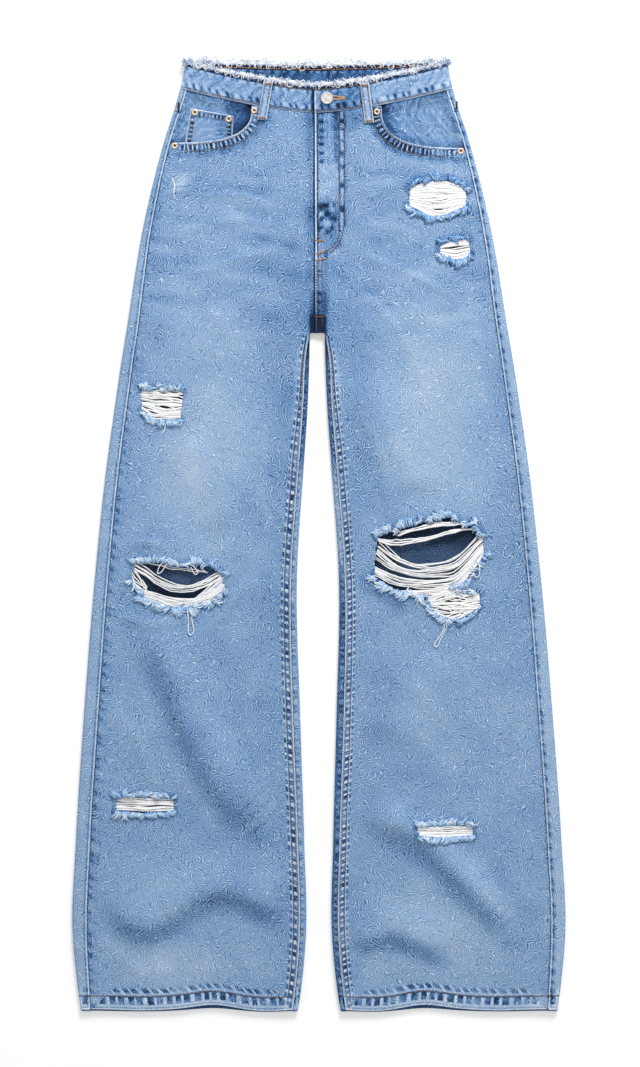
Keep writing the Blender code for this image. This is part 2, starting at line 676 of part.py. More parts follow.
def band_path():
    """The waistband's way round the waist: from the underlap at the centre front, round the
    wearer's right side, across the back, round the left side, and back to the lapped end. Each
    step is (share of the half width, angle round the fold, whether it is the lapped end); the
    angle is a quarter turn on the front, and minus a quarter turn on the back."""
    front, back = math.pi / 2, -math.pi / 2
    round_fold = np.linspace(front, back, BAND_ROLL_STEPS)
    start, count = BAND_BACK_SHARES
    path = [(0.1, front, False), (0.0, front, False)]
    path += [(-share, front, False) for share in BAND_FRONT_SHARES]
    path += [(-1, angle, False) for angle in round_fold]
    path += [(share, back, False) for share in np.linspace(start, -start, count)]
    path += [(1, angle, False) for angle in round_fold[::-1]]
    path += [(share, front, True) for share in BAND_FRONT_SHARES[::-1]]
    return path + [(0.06, front, True), (-FLY_LAP / WAIST_HALF_WIDTH, front, True)]


def band_lift(x, lapped):
    """The lapped end of the waistband rides up over the underlap."""
    return BAND_LAP * float(ease((BAND_LAP_START - x) / BAND_LAP_SLOPE)) if lapped else 0.0


def band_wall(name, thickness, side_downs, look):
    """A strip round the waist, between the two levels that side_downs gives at the side folds.
    Both its edges dip towards the middle of the front and of the back. The thickness is shared
    above and below the middle of the waistband."""
    inset = (BAND_CLOTH - thickness) / 2
    top, bottom = BAND_LEVEL - inset, LAYER + inset
    middle, tall = (top + bottom) / 2, (top - bottom) / 2
    outer, inner = [], []
    for side_down in side_downs:
        half = float(outline(HALF_WIDTH, side_down)) - ROLL_WIDTH
        for share, angle, lapped in band_path():
            dip = FRONT_WAIST_DIP if angle > 0 else BACK_WAIST_DIP
            down = side_down + dip * waist_dip(share)
            for grid, depth in ((outer, 0.0), (inner, thickness)):
                across = np.sign(share) * (ROLL_WIDTH - inset - depth) * math.cos(angle)
                height = middle + (tall - depth) * math.sin(angle) + band_lift(share * half, lapped)
                grid.append(place(share * half + across, down, height))
    shape = (len(side_downs), -1, 3)
    return wall(name, np.reshape(outer, shape), np.reshape(inner, shape), look)


def waistband(look):
    """One strip, folded double, from its frayed upper edge down to the seam with the panels."""
    return band_wall("waistband", BAND_CLOTH, (WAIST_EDGE_SIDE, WAIST_SEAM_SIDE), look)


def waist_fray(look):
    """The reach of the threads that stand out of the waistband's raw upper edge."""
    downs = (WAIST_EDGE_SIDE - FRAY_REACH, WAIST_EDGE_SIDE - SEAM_GAP)
    return band_wall("waist_fray", WAIST_FRAY_THICKNESS, downs, look)


# ---------------------------------------------------------------- pieces on the fronts


def facing(side, look):
    """The denim behind a pocket mouth, from the waist and side seams to just under the front."""
    rows = np.linspace(0, 1, FACING_ROWS)[:, None]
    columns = np.array(FACING_COLUMNS)[None, :]
    down = WAIST_SEAM_SIDE + rows * (FACING_DOWN - WAIST_SEAM_SIDE) + 0 * columns
    for _ in range(CURVE_PASSES):
        outer = outline(HALF_WIDTH, down) - outline(SIDE_STRIP, down) - SEAM_GAP
        x = outer + columns * (FACING_EDGE - outer)
        start = front_waist_seam(x) + SEAM_GAP
        down = start + rows * (FACING_DOWN - start)
    signed = x * SIDES[side]
    upper = facing_level(side, signed, down)
    name = "pocket_facing_" + side
    return wall(name, place(signed, down, upper), place(signed, down, upper - CLOTH), look)


def quad_grid(corners, rows, columns):
    """Plan points spread over a four-cornered patch; corners go round from the upper right."""
    a, b, c, d = (np.array(p, float) for p in corners)
    v = np.linspace(0, 1, rows)[:, None, None]
    u = np.linspace(0, 1, columns)[None, :, None]
    points = (1 - v) * ((1 - u) * a + u * b) + v * ((1 - u) * d + u * c)
    return points[..., 0], points[..., 1]


def coin_pocket(look):
    """The small patch pocket on the right facing; its foot is tucked under the front panel."""
    x, down = quad_grid(COIN_POCKET, 5, 5)
    lower = facing_level("right", x, down) + COIN_POCKET_GAP
    return wall("coin_pocket", place(x, down, lower + CLOTH), place(x, down, lower), look)


def front_loop(name, ends, side, look):
    """A belt loop from the waistband's edge to just below its seam, pressed flat."""
    (x0, down0), (x1, down1) = ends
    half = LOOP_WIDTH / 2
    corners = ((x0 - half, down0), (x0 + half, down0), (x1 + half, down1), (x1 - half, down1))
    x, down = quad_grid(corners, 5, 2)
    rise = band_lift(abs(x0) - half, side == "left")
    lower = BAND_LEVEL + SEAM_GAP + rise * np.where(down > front_waist_seam(x0), 0.5, 1.0)
    return wall(name, place(x, down, lower + LOOP_THICKNESS), place(x, down, lower), look)


def back_loop(name, x0, look):
    """A belt loop on the back of the waistband, flat on the floor."""
    half = LOOP_WIDTH / 2
    start = WAIST_EDGE_SIDE + BACK_WAIST_DIP * waist_dip(x0 / WAIST_HALF_WIDTH) + BACK_LOOP_START
    points = ((x0 - half, start), (x0 + half, start),
              (x0 + half, start + BACK_LOOP_LENGTH), (x0 - half, start + BACK_LOOP_LENGTH))
    return prism(name, points, 0.0, CLOTH, look)


def button(look):
    """The domed head of a shank button, on the lapped end of the waistband."""
    base = BAND_LEVEL + BAND_LAP + SEAM_GAP
    return turned("waist_button", BUTTON_PROFILE, BUTTON_PLACE, base, look, BUTTON_STEPS)


def rivet(name, centre, base, look):
    """A rivet burr: a domed ring with a sunk middle."""
    return turned(name, RIVET_PROFILE, centre, base, look, RIVET_STEPS)


# ---------------------------------------------------------------- rips


def rip_points(name):
    """The rip's upper and lower edges in plan."""
    centre, upper, lower = RIPS[name]
    return np.array(upper, float) + centre, np.array(lower, float) + centre


def inset(points, by):
    """The outline drawn in towards its middle by that much."""
    points = np.array(points, float)
    middle = points.mean(0)
    away = points - middle
    reach = np.sqrt((away**2).sum(1))[:, None]
    return middle + away * (1 - by / reach)


def side_of(name):
    return "left" if "left" in name else "right"


def rip_cutter(name):
    upper, lower = rip_points(name)
    outline_points = np.concatenate([upper, lower[::-1]])
    return prism("rip_cutter_" + name, outline_points, CLEAR_BELOW, CLEAR_ABOVE)


def weft_sheet(name, outline_points, tree, look):
    """The white weft threads left in a rip, as one thin wall just under the cloth's face."""
    points = inset(outline_points, WEFT_INSET)
    top = height_on(tree, points[:, 0], points[:, 1]) - WEFT_DROP + CLOTH - WEFT_THICKNESS
    return prism(name, points, top - WEFT_THICKNESS, top, look)


def weft(name, tree, look):
    """All the thread walls of one rip; a knee has its threads sagging open."""
    centre = np.array(RIPS[name][0])
    upper, lower = rip_points(name)
    if name not in KNEE_SAGS:
        weft_sheet("weft_" + name, np.concatenate([upper, lower[::-1]]), tree, look)
        return
    sag = np.array(KNEE_SAGS[name], float) + centre
    weft_sheet("weft_" + name, np.concatenate([sag, lower[::-1]]), tree, look)
    if name == "knee_left":
        between = np.abs(upper[:, 0] - centre[0]) < KNEE_TOP_HALF
        threads = np.array(KNEE_TOP_THREADS, float) + centre
        weft_sheet("weft_" + name + "_upper", np.concatenate([upper[between], threads[::-1]]), tree, look)


def rip_fray(name, edge, away, tree, look):
    """The curled threads along one edge of a rip, as a strip that lies on the cloth."""
    start, stop = edge[0, 0] - RIP_FRAY_OVERHANG, edge[-1, 0] + RIP_FRAY_OVERHANG
    x = np.linspace(start, stop, 3 + int((stop - start) / RIP_FRAY_STEP))
    near = np.interp(x, edge[:, 0], edge[:, 1]) + away * RIP_FRAY_START
    far = near + away * RIP_FRAY_REACH
    plan_x = np.stack([x, x])
    plan_down = np.stack([near, far])
    near_by = [height_on(tree, plan_x + step, plan_down) for step in RIP_FRAY_PROBES]
    lower = np.max(near_by, axis=0) + RIP_FRAY_LIFT
    upper = lower + RIP_FRAY_THICKNESS
    wall(name, place(plan_x, plan_down, upper), place(plan_x, plan_down, lower), look)


# ---------------------------------------------------------------- the garment


def clear_scene():
    for obj in list(bpy.data.objects):
        bpy.data.objects.remove(obj, do_unlink=True)


def build():
    clear_scene()
    denim = material("denim_washed", (0.27, 0.42, 0.62), 0.9)
    inside = material("denim_facing", (0.23, 0.36, 0.56), 0.9)
    threads = material("weft_threads", (0.86, 0.86, 0.87), 0.95)
    blue_fray = material("blue_fray", (0.38, 0.54, 0.76), 0.95)
    nickel = material("button_metal", (0.72, 0.68, 0.64), 0.35, 1.0)
    copper = material("rivet_metal", (0.68, 0.48, 0.34), 0.4, 1.0)

    trees = {}
    for side in SIDES:
        panel = front_panel(side, denim)
        trees[side] = upper_faces(panel)
        for name in RIPS:
            if side_of(name) == side:
                cut(panel, rip_cutter(name), RIP_SOLVER)
        back_panel(side, denim)
        yoke(side, denim)
        seat_pocket(side, denim)
        facing(side, inside)
    waistband(denim)
    waist_fray(threads)
    coin_pocket(denim)

    for name, ends in FRONT_LOOPS.items():
        front_loop(name, ends, side_of(name), denim)
    for name, x in BACK_LOOPS.items():
        back_loop(name, x, denim)

    button(nickel)
    for name, (x, down) in RIVETS.items():
        if "coin" in name:
            base = float(facing_level("right", x, down)) + CLOTH + 2 * COIN_POCKET_GAP
        else:
            base = float(front_level(side_of(name), x, down)) + SEAM_GAP
        rivet(name, (x, down), base, copper)

    for name in RIPS:
        tree = trees[side_of(name)]
        upper, lower = rip_points(name)
        weft(name, tree, threads)
        if name not in FRAY_BELOW_ONLY:
            rip_fray("fray_" + name + "_top", upper, -1, tree, blue_fray)
        rip_fray("fray_" + name + "_foot", lower, 1, tree, blue_fray)


build()
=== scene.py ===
# %% [markdown]
# # Ripped jeans, laid flat
# A pair of high-waisted wide-leg jeans lies face up on a pale floor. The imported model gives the
# frame: where every piece lies and how big it is. This notebook adds the looks: washed denim with
# its puckered seams, topstitching, frayed edges, loose threads and metal.

# %% Load the frame
import math

import bpy
import numpy as np
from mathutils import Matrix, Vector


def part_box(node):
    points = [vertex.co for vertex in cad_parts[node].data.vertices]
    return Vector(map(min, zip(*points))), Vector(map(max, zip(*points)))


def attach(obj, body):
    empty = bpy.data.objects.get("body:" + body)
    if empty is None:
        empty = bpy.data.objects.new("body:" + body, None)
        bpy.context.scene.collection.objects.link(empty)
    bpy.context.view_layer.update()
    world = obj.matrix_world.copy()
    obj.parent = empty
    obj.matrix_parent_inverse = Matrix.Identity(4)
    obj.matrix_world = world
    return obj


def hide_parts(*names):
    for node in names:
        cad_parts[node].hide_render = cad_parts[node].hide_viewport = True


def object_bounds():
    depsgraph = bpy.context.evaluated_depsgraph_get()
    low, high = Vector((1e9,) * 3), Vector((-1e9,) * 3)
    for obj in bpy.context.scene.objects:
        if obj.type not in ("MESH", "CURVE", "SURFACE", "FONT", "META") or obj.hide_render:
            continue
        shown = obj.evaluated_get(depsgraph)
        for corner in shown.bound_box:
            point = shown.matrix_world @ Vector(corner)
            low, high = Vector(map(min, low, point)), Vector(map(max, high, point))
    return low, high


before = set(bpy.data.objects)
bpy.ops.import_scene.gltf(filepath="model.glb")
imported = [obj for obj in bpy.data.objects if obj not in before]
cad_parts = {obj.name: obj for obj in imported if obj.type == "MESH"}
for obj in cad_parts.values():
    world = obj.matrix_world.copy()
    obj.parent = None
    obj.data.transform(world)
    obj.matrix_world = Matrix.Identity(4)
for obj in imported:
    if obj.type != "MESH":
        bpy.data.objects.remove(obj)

cad_low, cad_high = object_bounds()
print("frame:", len(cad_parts), "nodes, box", [round(c, 4) for c in (*cad_low, *cad_high)])

# %% [markdown]
# ## The plan of the garment
# A pattern cutter works on a flat plan, so every shape here starts as two numbers in millimetres:
# x across from the centre line, and down from the top of the frayed waist. Small tables hold the
# few sizes that drive the shape, and smooth curves run through their rows. A table and a curve are
# easier to read and to change than a long list of points.

# %% Sizes and the outline table
MM = 0.001
CLOTH = 1
SEAM_GAP = 0.3
LAYER = CLOTH + SEAM_GAP
BACK_HEM_DOWN = 1099
FRONT_HEM_DOWN = 1096.6
HEM_DEPTH = 16.5
CROTCH_DOWN = 319
CROTCH_ROW = 1.6
FIRST_ROW = 68
LEG_TOP = 323  # the first row where the legs are parted
WAVE_TOP = 1006  # the wave of the hem sets in here
HEM_ROWS_TOP = 1060  # rows lie closer from here
WIDEST_DOWN = 1012
LEAN = 2.9
TOP_DOWN = 0.5
MID_DOWN = TOP_DOWN + cad_high.y / MM
WAIST_EDGE_SIDE = 9.5
WAIST_SEAM_SIDE = 40
FRONT_WAIST_DIP = 27.5
BACK_WAIST_DIP = 3.5
WAIST_DIP_POWER = 1.4
WAIST_HALF = 156.5
ROLL_HEIGHT = 6.2
ROLL_WIDTH = 3.1
SLUMP = 1.2
FLY_LAP_EDGE = -2.5
FLY_UNDERLAP = 6
SEAT_FLOOR_END = 14
INSEAM_FIRST_CURL = 0.35
BAND_CLOTH = 2.2
BAND_LEVEL = LAYER + ROLL_HEIGHT + 0.1
BAND_LAP = BAND_CLOTH + SEAM_GAP
SIDES = {"right": -1, "left": 1}

OUTLINE = np.array((
    # down, half width, half gap, side strip, inseam strip
    (WAIST_EDGE_SIDE, 150, 0, 8, 0.5),
    (WAIST_SEAM_SIDE, WAIST_HALF, 0, 8, 0.5),
    (98, 174.8, 0, 7.5, 0.5),
    (190, 197.8, 0, 9.5, 0.5),
    (323, 220, 8.6, 13, 0.5),
    (350, 224.6, 9.2, 13.4, 3.8),
    (397, 231.7, 10.9, 14, 4.5),
    (466, 241.5, 15.5, 14.5, 5),
    (604, 256.5, 24.2, 15.5, 6),
    (765, 269.7, 20.7, 16.5, 7.5),
    (903, 278.9, 16.7, 16.5, 6.5),
    (WIDEST_DOWN, 283, 15, 16.5, 6.5),
    (1064, 278.3, 19.5, 14, 6),
    (BACK_HEM_DOWN, 274, 24.5, 11.5, 5.5),
))
DOWN, HALF_WIDTH, HALF_GAP, SIDE_STRIP, INSEAM_STRIP = range(5)

# %% Curves through tables
def ease(t):
    """0 before 0, 1 after 1, and the smooth S of 3t^2 - 2t^3 between."""
    t = np.clip(t, 0, 1)
    return t * t * (3 - 2 * t)


def hill(distance, width):
    """A bell: 1 where the distance is 0, and 1/e where it equals the width."""
    return np.exp(-((distance / width) ** 2))


def through(stations, values, at):
    """A smooth curve through (station, value) pairs: cubics whose slopes are central differences."""
    stations, values = np.asarray(stations, float), np.asarray(values, float)
    slopes = np.gradient(values, stations)
    at = np.clip(at, stations[0], stations[-1])
    i = np.clip(np.searchsorted(stations, at) - 1, 0, len(stations) - 2)
    width = stations[i + 1] - stations[i]
    t = (at - stations[i]) / width
    start = (1 + 2 * t) * (1 - t) ** 2 * values[i] + t * (1 - t) ** 2 * width * slopes[i]
    end = t * t * (3 - 2 * t) * values[i + 1] - t * t * (1 - t) * width * slopes[i + 1]
    return start + end


def points_curve(points, at):
    """x and down of a smooth curve through points; at is 0 at the first and counts them."""
    points = np.asarray(points, float)
    return [through(np.arange(len(points)), points[:, k], at) for k in (0, 1)]


def spread(*values):
    """The values as float arrays of one common shape."""
    return np.broadcast_arrays(*(np.asarray(value, float) for value in values))


def outline(column, down):
    """A column of the outline table at any level."""
    return through(OUTLINE[:, DOWN], OUTLINE[:, column], np.asarray(down, float))


def half_gap(down):
    """Half of the gap between the legs: nothing above the crotch, then the table's value."""
    parted = ease((np.asarray(down, float) - CROTCH_DOWN) / CROTCH_ROW)
    return parted * np.maximum(outline(HALF_GAP, down), 8.6)


def side_seam(down):
    """How far the side seam lies from the centre line: the half width less the back's strip."""
    return outline(HALF_WIDTH, down) - outline(SIDE_STRIP, down)


def inseam(down):
    """How far the inseam lies from the centre line: the half gap and the back's inner strip."""
    return half_gap(down) + outline(INSEAM_STRIP, down)


def waist_dip(x):
    """1 at the centre of the waist and 0 at its side folds."""
    return 1 - np.clip(np.abs(x) / WAIST_HALF, 0, 1) ** WAIST_DIP_POWER


def waist_curve(side_down, dip):
    """A line round the waist: its level at the side folds, and how much lower its middle hangs."""
    return lambda x: side_down + dip * waist_dip(x)


front_waist_edge = waist_curve(WAIST_EDGE_SIDE, FRONT_WAIST_DIP)
front_waist_seam = waist_curve(WAIST_SEAM_SIDE, FRONT_WAIST_DIP)
back_waist_edge = waist_curve(WAIST_EDGE_SIDE, BACK_WAIST_DIP)
back_waist_seam = waist_curve(WAIST_SEAM_SIDE, BACK_WAIST_DIP)


def yoke_seam(x):
    """A straight slant to each side: lowest at the centre back."""
    return 112 - 46 * np.clip(np.abs(x) / 150, 0, 1)


def hem_wave(x):
    """How far the front hem is drawn up: a soft rise in the middle of each leg, a sag inside it."""
    return -5 * hill(np.abs(x) - 122, 30) + 2.4 * hill(np.abs(x) - 62, 30) \
        + 1.6 * hill(np.abs(x) - 205, 35)


def place(x, down, z):
    """Plan millimetres to metres in the garment's frame, with the slight lean of the waist."""
    x, down, z = spread(x, down, z)
    lean = -LEAN * (1 - down / WIDEST_DOWN)
    return np.stack([x + lean, MID_DOWN - down, z], -1) * MM


hem_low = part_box("back_left")[0].y / MM
print("hem at", round(MID_DOWN - BACK_HEM_DOWN, 1), "mm, the frame has", round(hem_low, 1))

# %% [markdown]
# ## Uneven things
# Real cloth never repeats itself exactly. Two small helpers make controlled unevenness: a soft
# noise for broad waves in the cloth, and a row of soft spots for the puckers beside a seam. Both
# use seeded numbers, so that the garment comes out the same each time.

# %% Soft noise and rows of spots
def soft_noise(x, y, size, seed):
    """Random values from -1 to 1 on a square lattice of that size, joined by smooth steps."""
    table = np.random.RandomState(seed).uniform(-1, 1, (61, 67))
    u, v = np.asarray(x) / size, np.asarray(y) / size
    i, j = np.floor(u).astype(int), np.floor(v).astype(int)
    fu, fv = ease(u - i), ease(v - j)
    low = table[i % 61, j % 67] * (1 - fu) + table[(i + 1) % 61, j % 67] * fu
    high = table[i % 61, (j + 1) % 67] * (1 - fu) + table[(i + 1) % 61, (j + 1) % 67] * fu
    return low * (1 - fv) + high * fv


def stations(period, seed):
    """Places about a period apart, each a little off."""
    middles = np.arange(-260, 1300, period)
    return middles + np.random.RandomState(seed).uniform(-0.26, 0.26, len(middles)) * period


def phase(along, period, seed):
    """Counts the stations: a whole number at each, and a smooth climb between."""
    middles = stations(period, seed)
    return np.interp(along, middles, np.arange(len(middles)))


def spots(along, period, width, seed):
    """1 in the middle of each soft spot. The spots sit at stations, uneven in length and strength."""
    middles = stations(period, seed)
    rng = np.random.RandomState(seed + 1)
    strengths = rng.uniform(0.6, 1, len(middles))
    widths = width * rng.uniform(0.75, 1.3, len(middles))
    at = np.arange(-260, 1300, 0.4)
    row = (strengths * np.exp(-(((at[:, None] - middles) / widths) ** 2))).max(1)
    return np.interp(along, at, row)


print("noise and spots ready:", round(float(spots(np.array([10]), 12, 3, 1)[0]), 3))

# %% [markdown]
# ## Where the cloth lies
# The fronts are a height over the plan. A fold is a crest line with a height and a width to each
# side, steep on one side and long on the other, as cloth that was pushed together lies. The
# biggest folds lie near those of the solid model, up to 26 mm from them.

# %% Folds and levels
def rows_of(text):
    """Numbers from a table: spaces between the numbers of a row, commas between rows."""
    return [tuple(map(float, row.split())) for row in text.split(",")]


def crests(text):
    """Fold lines from a table, each as 'height right-width left-width: x down, x down, ...'."""
    halves = [row.split(":") for row in text.strip().splitlines()]
    return [(rows_of(points), *map(float, sizes.split())) for sizes, points in halves]


FOLDS = crests("""
    8.5 19 40: -204 655, -180 690, -154 757, -133 803, -101 856, -56 903
    7.5 16 34: -262 936, -208 1000, -132 962, -84 966, -30 998
    3 24 24: -150 430, -127 489, -106 552
    3.5 20 34: 32 368, 95 454, 118 512
    3.5 26 36: 135 679, 85 802
    8 15 20: 40 872, 113 894, 165 947, 226 1012
    6 15 26: 36 1028, 88 1004, 156 1038
    2.5 60 60: -200 600, -120 590
    3 60 60: 80 570, 180 570
""")


CREST_STEPS = 25


def fold_height(folds, x, down):
    """All folds together: each is a crest whose height fades with the distance to each side."""
    x, down = spread(x, down)
    total = np.zeros(x.shape)
    for crest, height, right_width, left_width in folds:
        line = np.stack(points_curve(crest, np.linspace(0, len(crest) - 1, CREST_STEPS)), 1)
        way = np.gradient(line, axis=0)
        off = np.stack([x, down], -1)[..., None, :] - line
        far = np.sqrt((off**2).sum(-1))
        nearest = far.argmin(-1)
        near = np.take_along_axis(far, nearest[..., None], -1)[..., 0]
        offset = np.take_along_axis(off, nearest[..., None, None], -2)[..., 0, :]
        to_right = way[nearest][..., 0] * offset[..., 1] - way[nearest][..., 1] * offset[..., 0] > 0
        width = np.where(to_right, right_width, left_width)
        share = nearest / (len(line) - 1)
        total += height * ease(share / 0.22) * ease((1 - share) / 0.22) * hill(near, width)
    return total


def seat_lift(down):
    """The back lies one layer up over the seat pockets and belt loops, and on the floor below."""
    return LAYER * (1 - ease((np.asarray(down, float) - 300) / 90))


def lap_lift(side, x, down):
    """The left front lies one layer up where it laps over the right front."""
    if side == "right":
        return 0 * np.asarray(x, float)
    return LAYER * ease((24 - x) / 14) * (1 - ease((down - 326) / 24))


def front_level(side, x, down):
    """The seat's lift and the rolled edge's height, less the slump inside the leg and the dip at the
    crotch, plus the folds and the lap of the fly."""
    x, down = np.asarray(x, float), np.asarray(down, float)
    from_side = outline(HALF_WIDTH, down) - np.abs(x)
    from_gap = np.where(down > CROTCH_DOWN, np.abs(x) - half_gap(down), 99)
    inside = np.minimum(from_side, from_gap)
    slump = SLUMP * ease((down - 130) / 100) * ease((inside - ROLL_WIDTH) / 35)
    crotch_dip = 2 * np.exp(-((x / 15) ** 2) - ((down - CROTCH_DOWN) / 24) ** 2)
    folds = fold_height(FOLDS, x, down) * ease((inside - 5) / 28)
    return seat_lift(down) + ROLL_HEIGHT - slump - crotch_dip + folds + lap_lift(side, x, down)


test = front_level("left", np.array([120]), np.array([700]))[0]
print("front lies", round(float(test), 2), "mm above the floor at mid calf")

# %% [markdown]
# ## Denim as one number
# Washed denim has one dye in many strengths: nearly black-blue where a pucker kept it, pale where
# the stones rubbed an edge bare. So each point of the cloth carries one number, its tone, from -1
# (all the dye) to 1 (none), and one material turns tone into colour. The tone also carries painted
# shade in hollows, grooves and beside edges, and painted highlights on crests. The material adds
# what is finer than the mesh: curly slubs of pale and dark yarn, and the diagonal ridges of the twill.

# %% Material helpers
def srgb(red, green, blue):
    """Screen colour, 0 to 255, to the linear values that a shader takes."""
    c = np.array([red, green, blue]) / 255
    return (*np.where(c <= 0.04045, c / 12.92, ((c + 0.055) / 1.055) ** 2.4), 1)


def new_material(name, roughness, metallic=0):
    """A plain material, its nodes, and its shader."""
    made = bpy.data.materials.new(name)
    made.use_nodes = True
    shader = made.node_tree.nodes["Principled BSDF"]
    shader.inputs["Roughness"].default_value = roughness
    shader.inputs["Metallic"].default_value = metallic
    return made, made.node_tree, shader


def node(tree, kind, inputs=(), **settings):
    """Adds a node, sets its properties, and fills its inputs with values or links."""
    made = tree.nodes.new(kind)
    for key, value in settings.items():
        setattr(made, key, value)
    for key, value in dict(inputs).items():
        value = getattr(value, "socket", value)
        if isinstance(value, bpy.types.NodeSocket):
            tree.links.new(value, made.inputs[key])
        else:
            made.inputs[key].default_value = value
    return made


class Shade:
    """A number that a material works out at each point. Arithmetic on shades adds math nodes."""

    def __init__(self, socket):
        """Holds the node socket that gives the number."""
        self.socket = socket

    def math(self, operation, *others):
        """A math node on this number and the others."""
        inputs = dict(enumerate((self, *others)))
        return Shade(node(self.socket.id_data, "ShaderNodeMath", inputs, operation=operation).outputs[0])

    def __add__(self, other):
        """This number plus the other."""
        return self.math("ADD", other)

    def __sub__(self, other):
        """This number less the other."""
        return self.math("SUBTRACT", other)

    def __mul__(self, other):
        """This number times the other."""
        return self.math("MULTIPLY", other)

    def remap(self, start, stop, low=0, high=1, kind="LINEAR"):
        """start becomes low and stop becomes high, and past them the value stays there."""
        inputs = {"Value": self, "From Min": start, "From Max": stop, "To Min": low, "To Max": high}
        made = node(self.socket.id_data, "ShaderNodeMapRange", inputs, interpolation_type=kind)
        return Shade(made.outputs[0])

    def band(self, start, stop, soft):
        """1 where the value is between start and stop, with soft ends."""
        rise = self.remap(start - soft, start, kind="SMOOTHSTEP")
        return rise * self.remap(stop, stop + soft, 1, 0, "SMOOTHSTEP")


def attribute(tree, name):
    """A number that the mesh carries at its points."""
    return Shade(node(tree, "ShaderNodeAttribute", attribute_name=name).outputs["Fac"])


def object_place(tree):
    """The point's place on the garment, in metres."""
    return node(tree, "ShaderNodeTexCoord").outputs["Object"]


def colour_by(tree, shader, factor, stops):
    """Colours the shader by a ramp of (position, colour) rows."""
    made = node(tree, "ShaderNodeValToRGB", {"Fac": factor})
    elements = made.color_ramp.elements
    for i, (position, _) in enumerate(stops):
        element = elements[i] if i < 2 else elements.new(position)
        element.position = position
    for element, (_, colour) in zip(sorted(elements, key=lambda e: e.position), stops):
        element.color = srgb(*colour)
    tree.links.new(made.outputs["Color"], shader.inputs["Base Color"])


def raise_by(tree, shader, height, strength, distance):
    """Tilts the surface as if it stood higher where height is larger."""
    bump = node(tree, "ShaderNodeBump", {"Strength": strength, "Distance": distance, "Height": height})
    tree.links.new(bump.outputs["Normal"], shader.inputs["Normal"])


def noise(tree, scale, detail=2, distortion=0, shift=0):
    """Noise on object coordinates; scale is in features for each metre."""
    moved = node(tree, "ShaderNodeVectorMath", {0: object_place(tree), 1: (shift, shift, 0)}, operation="ADD")
    inputs = {"Vector": moved.outputs[0], "Scale": scale, "Detail": detail, "Distortion": distortion}
    return Shade(node(tree, "ShaderNodeTexNoise", inputs).outputs["Fac"])


def swirled_lines(tree, scale, frequency, swirl, bend, shift=0):
    """Short curled lines about nothing. The phase of a Gabor noise draws bands, frequency of them in
    each of its cells. A smooth noise turns their heading from place to place, and a second one
    bends them. A power of the wave makes their crests narrow, and they break off where the
    Gabor noise is weak."""
    middle = object_place(tree)
    wobble = node(tree, "ShaderNodeTexNoise", {"Vector": middle, "Scale": 0.75 * scale, "Detail": 1})
    moved = node(tree, "ShaderNodeVectorMath", {0: wobble.outputs["Color"], 1: (bend, bend, 0), 2: middle},
                 operation="MULTIPLY_ADD").outputs[0]
    bands = node(tree, "ShaderNodeTexGabor", {
        "Vector": moved, "Scale": scale, "Frequency": frequency, "Anisotropy": 0.7,
        "Orientation 2D": noise(tree, swirl, 1, 0, shift) * (4 * math.pi)}, gabor_type="2D")
    wave = (Shade(bands.outputs["Phase"]) * (2 * math.pi)).math("SINE")
    crest = (wave * 0.5 + 0.5).math("POWER", 2.2)
    return (crest * 0.5 - 0.182) * (Shade(bands.outputs["Intensity"]) * 2).math("MINIMUM", 1)


def seam_marks(tree):
    """Tone along a seam, from three numbers that the cloth carries: edge, the millimetres from the
    finished edge; row, the millimetres past the outer row of stitches; and phase, which counts
    the puckers. The edge is pale, partly rubbed and partly a painted highlight on its fold, and below
    nothing it is painted shade in the groove where two edges meet. Each row lies in a groove with
    painted shade along it, and with dark hollows and pale ridges by turns on both its sides."""
    edge, row, count = (attribute(tree, name) for name in ("edge", "row", "phase"))
    wobble = (noise(tree, 330, 1) - 0.5) * 1.6
    edge = edge + wobble
    pulse = (count * (2 * math.pi) + wobble * 0.5).math("COSINE")
    uneven = noise(tree, 95, 1, 0, 11).remap(0.35, 0.65, 0.35, 1.25)
    hollow = pulse.remap(-0.8, -0.05, 0.42, -0.8, "SMOOTHSTEP") * uneven
    between = edge.band(3.4, 60, 1) * row.band(-8.6, -1.6, 1.8)
    marks = hollow * (row.band(5, 7, 4) * 0.8 + between)
    # the dark lines along the outer row, below the edge and in the inner row's groove are painted shade
    lines = (
        # measured from, start, stop, softness, tone
        (row, -14.6, -10.4, 1.3, 0.3), (row, 1.5, 3.6, 1, 0.2), (row, -0.9, 0.9, 0.6, -0.45),
        (edge, -9, -0.7, 0.5, -0.7), (edge, 0, 0.8, 0.4, 0.5), (edge, 2, 3, 0.5, -0.4),
    )
    for measured, start, stop, soft, tone in lines:
        marks = measured.band(start, stop, soft) * tone + marks
    return marks


# %% The denim material
DENIM_STOPS = (
    (0, (14, 34, 62)), (0.16, (38, 78, 126)), (0.32, (84, 127, 177)), (0.5, (126, 161, 202)),
    (0.66, (160, 186, 217)), (0.8, (196, 213, 233)), (1, (244, 247, 251)),
)
# a dark ramp for the insides: painted shade
SHADED_INSIDE_STOPS = ((0, (6, 10, 20)), (0.35, (26, 44, 68)), (0.6, (56, 84, 118)), (1, (130, 150, 174)))


